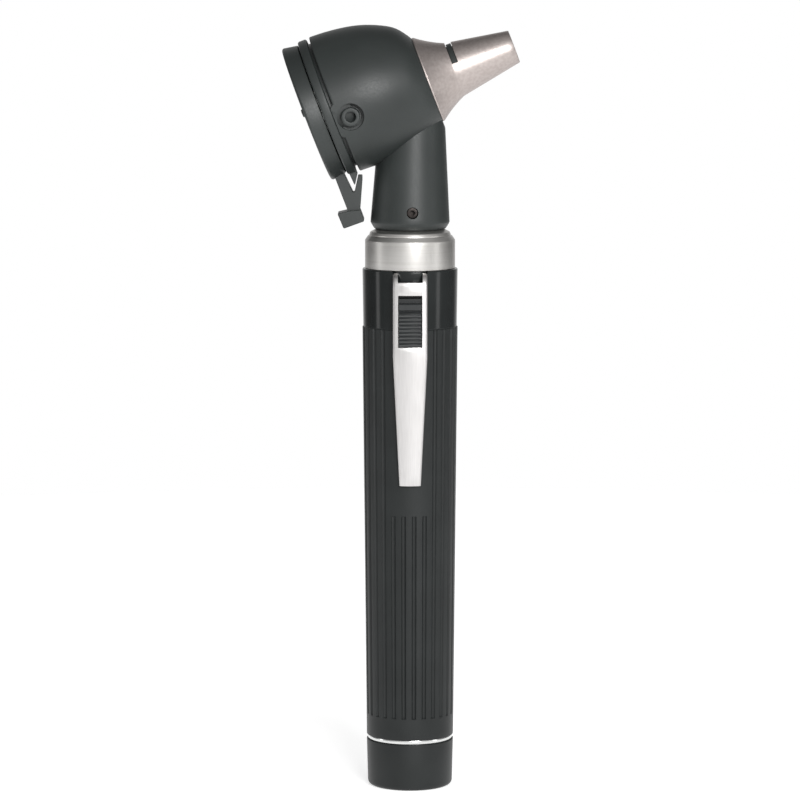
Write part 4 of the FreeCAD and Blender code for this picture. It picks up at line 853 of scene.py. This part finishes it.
# %% Lens frame, lever and pin
PIN_ABOVE = 12.4
frame_profile = rounded(
    [[10.35, 0], [14.63, 0], [14.05, 3.4], [10.55, 3.4], [10.55, 0.9], [9.9, 0.9], [9.9, 0.45]],
    [0.15, 0.5, 0.15, 0.1, 0.02, 0.02, 0.02],
)
pin_sink = [[0, -1.0], [1.35, -1.0], [1.35, 0.85], [0, 0.85]]
pin_hole = on_sight(pin_sink, above=PIN_ABOVE, columns=48)
rim_mesh = cut(mesh_of(on_sight(frame_profile, columns=220)), pin_hole)
nib = rounded([[0, -0.35], [0.85, -0.35], [0.85, 0.3], [0, 0.3]], [0, 0.25, 0.02, 0], 5)
points, faces = lathe(nib, 40)
nib_shape = in_head((points[:, [2, 1, 0]] + [0, -12.27, 1.0], faces))
rim_mesh = together(rim_mesh, mesh_of(nib_shape))
piece("lens_frame_moulded", rim_mesh, "eyepiece", head_abs, "head_plastic", "lens_frame")

fork_outline = rounded(
    [[0.85, 12.85], [2.95, 12.85], [2.95, 14.63], [3.3, 18.85], [5.5, 15.5], [6.3, 15.86],
     [5.95, 16.8], [3.35, 22.3], [3.35, 23.8], [0.85, 23.8]],
    [0, 0, 0.3, 0.2, 0.15, 0.15, 0.3, 0.3, 0.1, 0.1], 4,
)
foot_outline = rounded(
    [[-1.35, 21.3], [0.85, 21.6], [3.35, 22.3], [3.35, 24.8], [-1.25, 24.7]],
    [0.25, 0.3, 0.2, 0.3, 0.3], 4,
)
fork_mesh = mesh_of(side_plate(fork_outline, 2.4))
lever_mesh = together(fork_mesh, mesh_of(side_plate(foot_outline, 3.4)))
piece("fork_lever_moulded", lever_mesh, "eyepiece", head_abs, "head_plastic", bevel=0.18)

pin_profile = rounded(
    [[0, 0.05], [1.3, 0.05], [1.3, 0.75], [0.75, 0.75], [0.75, 5.5], [0, 5.5]],
    [0, 0.15, 0.02, 0.02, 0.05, 0], 4,
)
driver = side_plate([[-0.5, -12.62], [0.35, -12.62], [0.35, -12.18], [-0.5, -12.18]], 1.6)
pin_mesh = cut(mesh_of(on_sight(pin_profile, above=PIN_ABOVE, columns=48)), driver)
piece("pivot_pin_turned", pin_mesh, "head", wire, "spring_metal", "pivot_pin")

# %% [markdown]
# The magnifier is a glass lens, flat behind and curved in front, held by a snap ring. The
# front is part of a big sphere: bulge = sqrt(S^2 - r^2) - (S - 1.15), where S is the radius
# that makes the bulge nothing at the lens's rim.

# %% Lens and its retaining ring
LENS_R, LENS_BACK, LENS_FRONT, BULGE = 10.5, 0.9, 2.1, 1.15
sphere = (LENS_R**2 + BULGE**2) / (2 * BULGE)
r = np.linspace(LENS_R, 0, 40)
front = LENS_FRONT + np.sqrt(sphere**2 - r**2) - (sphere - BULGE)
lens_back = [[0, LENS_BACK], [LENS_R - 0.1, LENS_BACK], [LENS_R, LENS_BACK + 0.1]]
lens_mesh = mesh_of(on_sight(np.vstack([lens_back, np.column_stack([r, front])])))
piece("lens_polished", lens_mesh, "eyepiece", lens_glass, "lens_glass", "lens")
retainer = rounded([[9.65, 2.33], [10.55, 2.13], [10.55, 3.1], [9.65, 3.1]], 0.12, 4)
retainer_mesh = mesh_of(on_sight(retainer))
piece("retainer_moulded", retainer_mesh, "eyepiece", head_abs, "head_plastic", "lens_retainer")

# %% [markdown]
# The cone carries the disposable ear tips. It flares to the barrel's front with a hollow
# curve, then tapers straight to a round bore. A cross slot over its top catches the tips.
# It is turned from one profile and the slot is milled, as on the real part.

# %% Metal cone
CONE_ABOVE, CONE_R, CONE_LEN, RIM_END = -2.205, 9.2, 19.3, 0.35
FLARE_END, FLARE_R, FLARE_HOLLOW, TIP_R = 6.0, 5.85, 0.25, 3.5
SLOT_SWING, SLOT_W, SLOT_REACH = math.radians(76), 1.3, 12
flare = np.linspace(0, 1, 24)
flare_u = RIM_END + (FLARE_END - RIM_END) * flare
flare_r = CONE_R + (FLARE_R - CONE_R) * flare - 4 * FLARE_HOLLOW * flare * (1 - flare)
taper_u = np.linspace(FLARE_END, CONE_LEN - 0.15, 12)[1:]
taper_r = FLARE_R + (TIP_R - FLARE_R) * (taper_u - FLARE_END) / (CONE_LEN - FLARE_END)
tip = [[3.4, CONE_LEN], [2.85, CONE_LEN], [2.75, CONE_LEN - 0.12], [2.75, CONE_LEN - 2.0]]
inner = [
    [5.1, 6.0], [6.5, 2.0], [6.5, -2.4], [7.3, -2.4], [7.3, 0.0], [CONE_R - 0.1, 0.0],
    [CONE_R, 0.1],
]
cone_profile = np.vstack([
    np.column_stack([flare_r, flare_u]), np.column_stack([taper_r, taper_u]), tip, inner,
])
cone_profile[:, 1] += BARREL_FRONT
cone_mesh = mesh_of(on_sight(cone_profile, above=CONE_ABOVE, columns=200))
swing = np.linspace(-1, 1, 25) * SLOT_SWING
fan = np.vstack([[0, 0], np.column_stack([np.sin(swing), np.cos(swing)]) * SLOT_REACH])
slot_start = BARREL_FRONT + FLARE_END
points, faces = prism(fan, slot_start, slot_start + SLOT_W)
cross_slot = in_head((points[:, [2, 0, 1]] + [0, 0, CONE_ABOVE], faces))
cone_mesh = cut(cone_mesh, cross_slot)
piece("cone_turned", cone_mesh, "head", cone_metal, "cone_metal", "speculum_carrier")

# %% [markdown]
# The pieces inside keep their CAD meshes, because they hardly show: they are seen only
# through the magnifier, down the cone, or when the cap is unscrewed. Each gets the finish of
# its real material through its object's own material slot.

# %% Finishes for the pieces inside
INSIDE = {
    "battery_lower": cell_film, "battery_upper": cell_film, "contact_holder": laminate,
    "contact_pin": brass, "contact_strip": brass, "switch_contact": brass,
    "spring_plate": wire, "battery_spring": wire, "neck_insert": brass,
    "lamp_base": brass, "lamp_tip": bright_ring, "lamp_bulb": lamp_glass,
    "light_guide": guide_fibre, "sight_tube": head_abs,
}
for node, look in INSIDE.items():
    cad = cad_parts[node]
    if not cad.material_slots:
        cad.data.materials.append(look)
    for place in cad.material_slots:
        place.link = "OBJECT"
        place.material = look
print(len(INSIDE), "inside pieces have their finishes")

# %% [markdown]
# The photograph shows a product on white in a tent of cloth. The cloth is brightest round the
# camera, a little to its right, and falls off to grey at the sides, which gives the collar
# its white middle and grey flanks. It is white again behind the object and lights its edges.
# The fall-off is t^1.5, where t grows with the cosine between a direction and the front. The
# floor is a small pale disc that keeps the shadow under the cap.

# %% Floor and studio
bpy.context.scene.view_settings.view_transform = "Standard"
FLOOR_R, FLOOR_LIFT = 450.0, 0.63
TENT_DIM, TENT_SPAN, TENT_BACK, TENT_POWER, TENT_FAR = 0.15, 0.62, 0.6, 1.5, -0.5
FRONT_TURN, FRONT_RISE = math.radians(12), math.radians(8)
floor_mat, tree, shader = finish(
    "studio_paper_white", "#f2f2f2", "#f6f6f6", 40.0, 5.0, (0.9, 0.95), 0.01, {"IOR": 1.45}
)
path = add(tree, "ShaderNodeLightPath")
seen = {0: path.outputs["Is Camera Ray"], 1: path.outputs["Is Glossy Ray"]}
either = add(tree, "ShaderNodeMath", seen, operation="MAXIMUM")
lift = add(tree, "ShaderNodeMath", {0: either.outputs[0], 1: FLOOR_LIFT}, operation="MULTIPLY")
shader.inputs["Emission Color"].default_value = (1, 1, 1, 1)
tree.links.new(lift.outputs[0], shader.inputs["Emission Strength"])
swing = np.linspace(0, TAU, 96, endpoint=False)
ring_r = np.array([0.0, FLOOR_R / 2, FLOOR_R])[:, None]
floor_z = 0 * ring_r + 0 * swing - 0.05
points = np.stack([ring_r * np.cos(swing), ring_r * np.sin(swing), floor_z], -1)
floor_mesh = mesh_of((points.reshape(-1, 3), [grid_faces(3, 96, False, True)]), closed=False)
floor_mesh.materials.append(floor_mat)
put("floor", floor_mesh)

world = bpy.data.worlds.new("studio_tent")
bpy.context.scene.world = world
world.use_nodes = True
tree = world.node_tree
tree.nodes.clear()
way = add(tree, "ShaderNodeTexCoord").outputs["Generated"]
front = (
    math.sin(FRONT_TURN) * math.cos(FRONT_RISE),
    -math.cos(FRONT_TURN) * math.cos(FRONT_RISE),
    math.sin(FRONT_RISE),
)
cosine = add(tree, "ShaderNodeVectorMath", {0: way, 1: front}, operation="DOT_PRODUCT")
near = add(tree, "ShaderNodeMapRange", {"Value": cosine.outputs["Value"], "From Min": TENT_FAR})
fall = add(tree, "ShaderNodeMath", {0: near.outputs[0], 1: TENT_POWER}, operation="POWER")
cloth_in = {0: fall.outputs[0], 1: TENT_SPAN, 2: TENT_DIM}
cloth = add(tree, "ShaderNodeMath", cloth_in, operation="MULTIPLY_ADD")
depth = add(tree, "ShaderNodeSeparateXYZ", {0: way}).outputs["Y"]
back_in = {"Value": depth, "From Min": 0.7, "From Max": 0.95, "To Max": TENT_BACK}
behind = add(tree, "ShaderNodeMapRange", back_in)
tent = add(tree, "ShaderNodeMath", {0: cloth.outputs[0], 1: behind.outputs[0]}, operation="ADD")
path = add(tree, "ShaderNodeLightPath")
levels = {0: path.outputs["Is Camera Ray"], 2: tent.outputs[0], 3: 1.0}
seen = add(tree, "ShaderNodeMix", levels)
back = add(tree, "ShaderNodeBackground", {"Color": (1, 1, 1, 1), "Strength": seen.outputs[0]})
add(tree, "ShaderNodeOutputWorld", {"Surface": back.outputs[0]})
print("floor and tent are ready")

# %% [markdown]
# One square soft box in front gives the head its glow, and two weak upright strips at the
# sides give the polished band its streaks. The camera is a long lens, a little above the
# otoscope's middle and looking slightly down, as the photograph's proportions show.

# %% Soft boxes and camera


def soft_box(name, azimuth, elevation, distance, width, height, watts):
    """An area light that looks at the middle of the object from the given direction."""
    data = bpy.data.lights.new(name, "AREA")
    data.shape = "RECTANGLE"
    data.size, data.size_y, data.energy = width, height, watts
    light = put(name, data)
    a, e = math.radians(azimuth), math.radians(elevation)
    back = np.array([math.sin(a) * math.cos(e), -math.cos(a) * math.cos(e), math.sin(e)])
    light.location = back * distance + [0, 0, 0.09]
    light.rotation_euler = (math.radians(90 - elevation), 0, a)
    return light


soft_box("front_box", 15, 18, 0.9, 0.3, 0.3, 5.0)
soft_box("left_strip", -85, 0, 0.8, 0.14, 0.5, 0.4)
soft_box("right_strip", 72, 0, 0.8, 0.14, 0.5, 0.4)

CAMERA_LENS, CAMERA_DIP = 182.97, 6.75
camera_data = bpy.data.cameras.new("camera")
camera_data.lens = CAMERA_LENS
camera_data.sensor_width = 36
camera_data.clip_end = 50
camera = put("camera", camera_data)
camera.location = (-0.0021, -0.847, 0.182)
camera.rotation_euler = (math.radians(90 - CAMERA_DIP), 0, 0)
bpy.context.scene.camera = camera
print("camera at", tuple(round(c, 4) for c in camera.location))

# %% [markdown]
# The last cell brings the scene up to date, so that it is finished.

# %% Finish
bpy.context.view_layer.update()
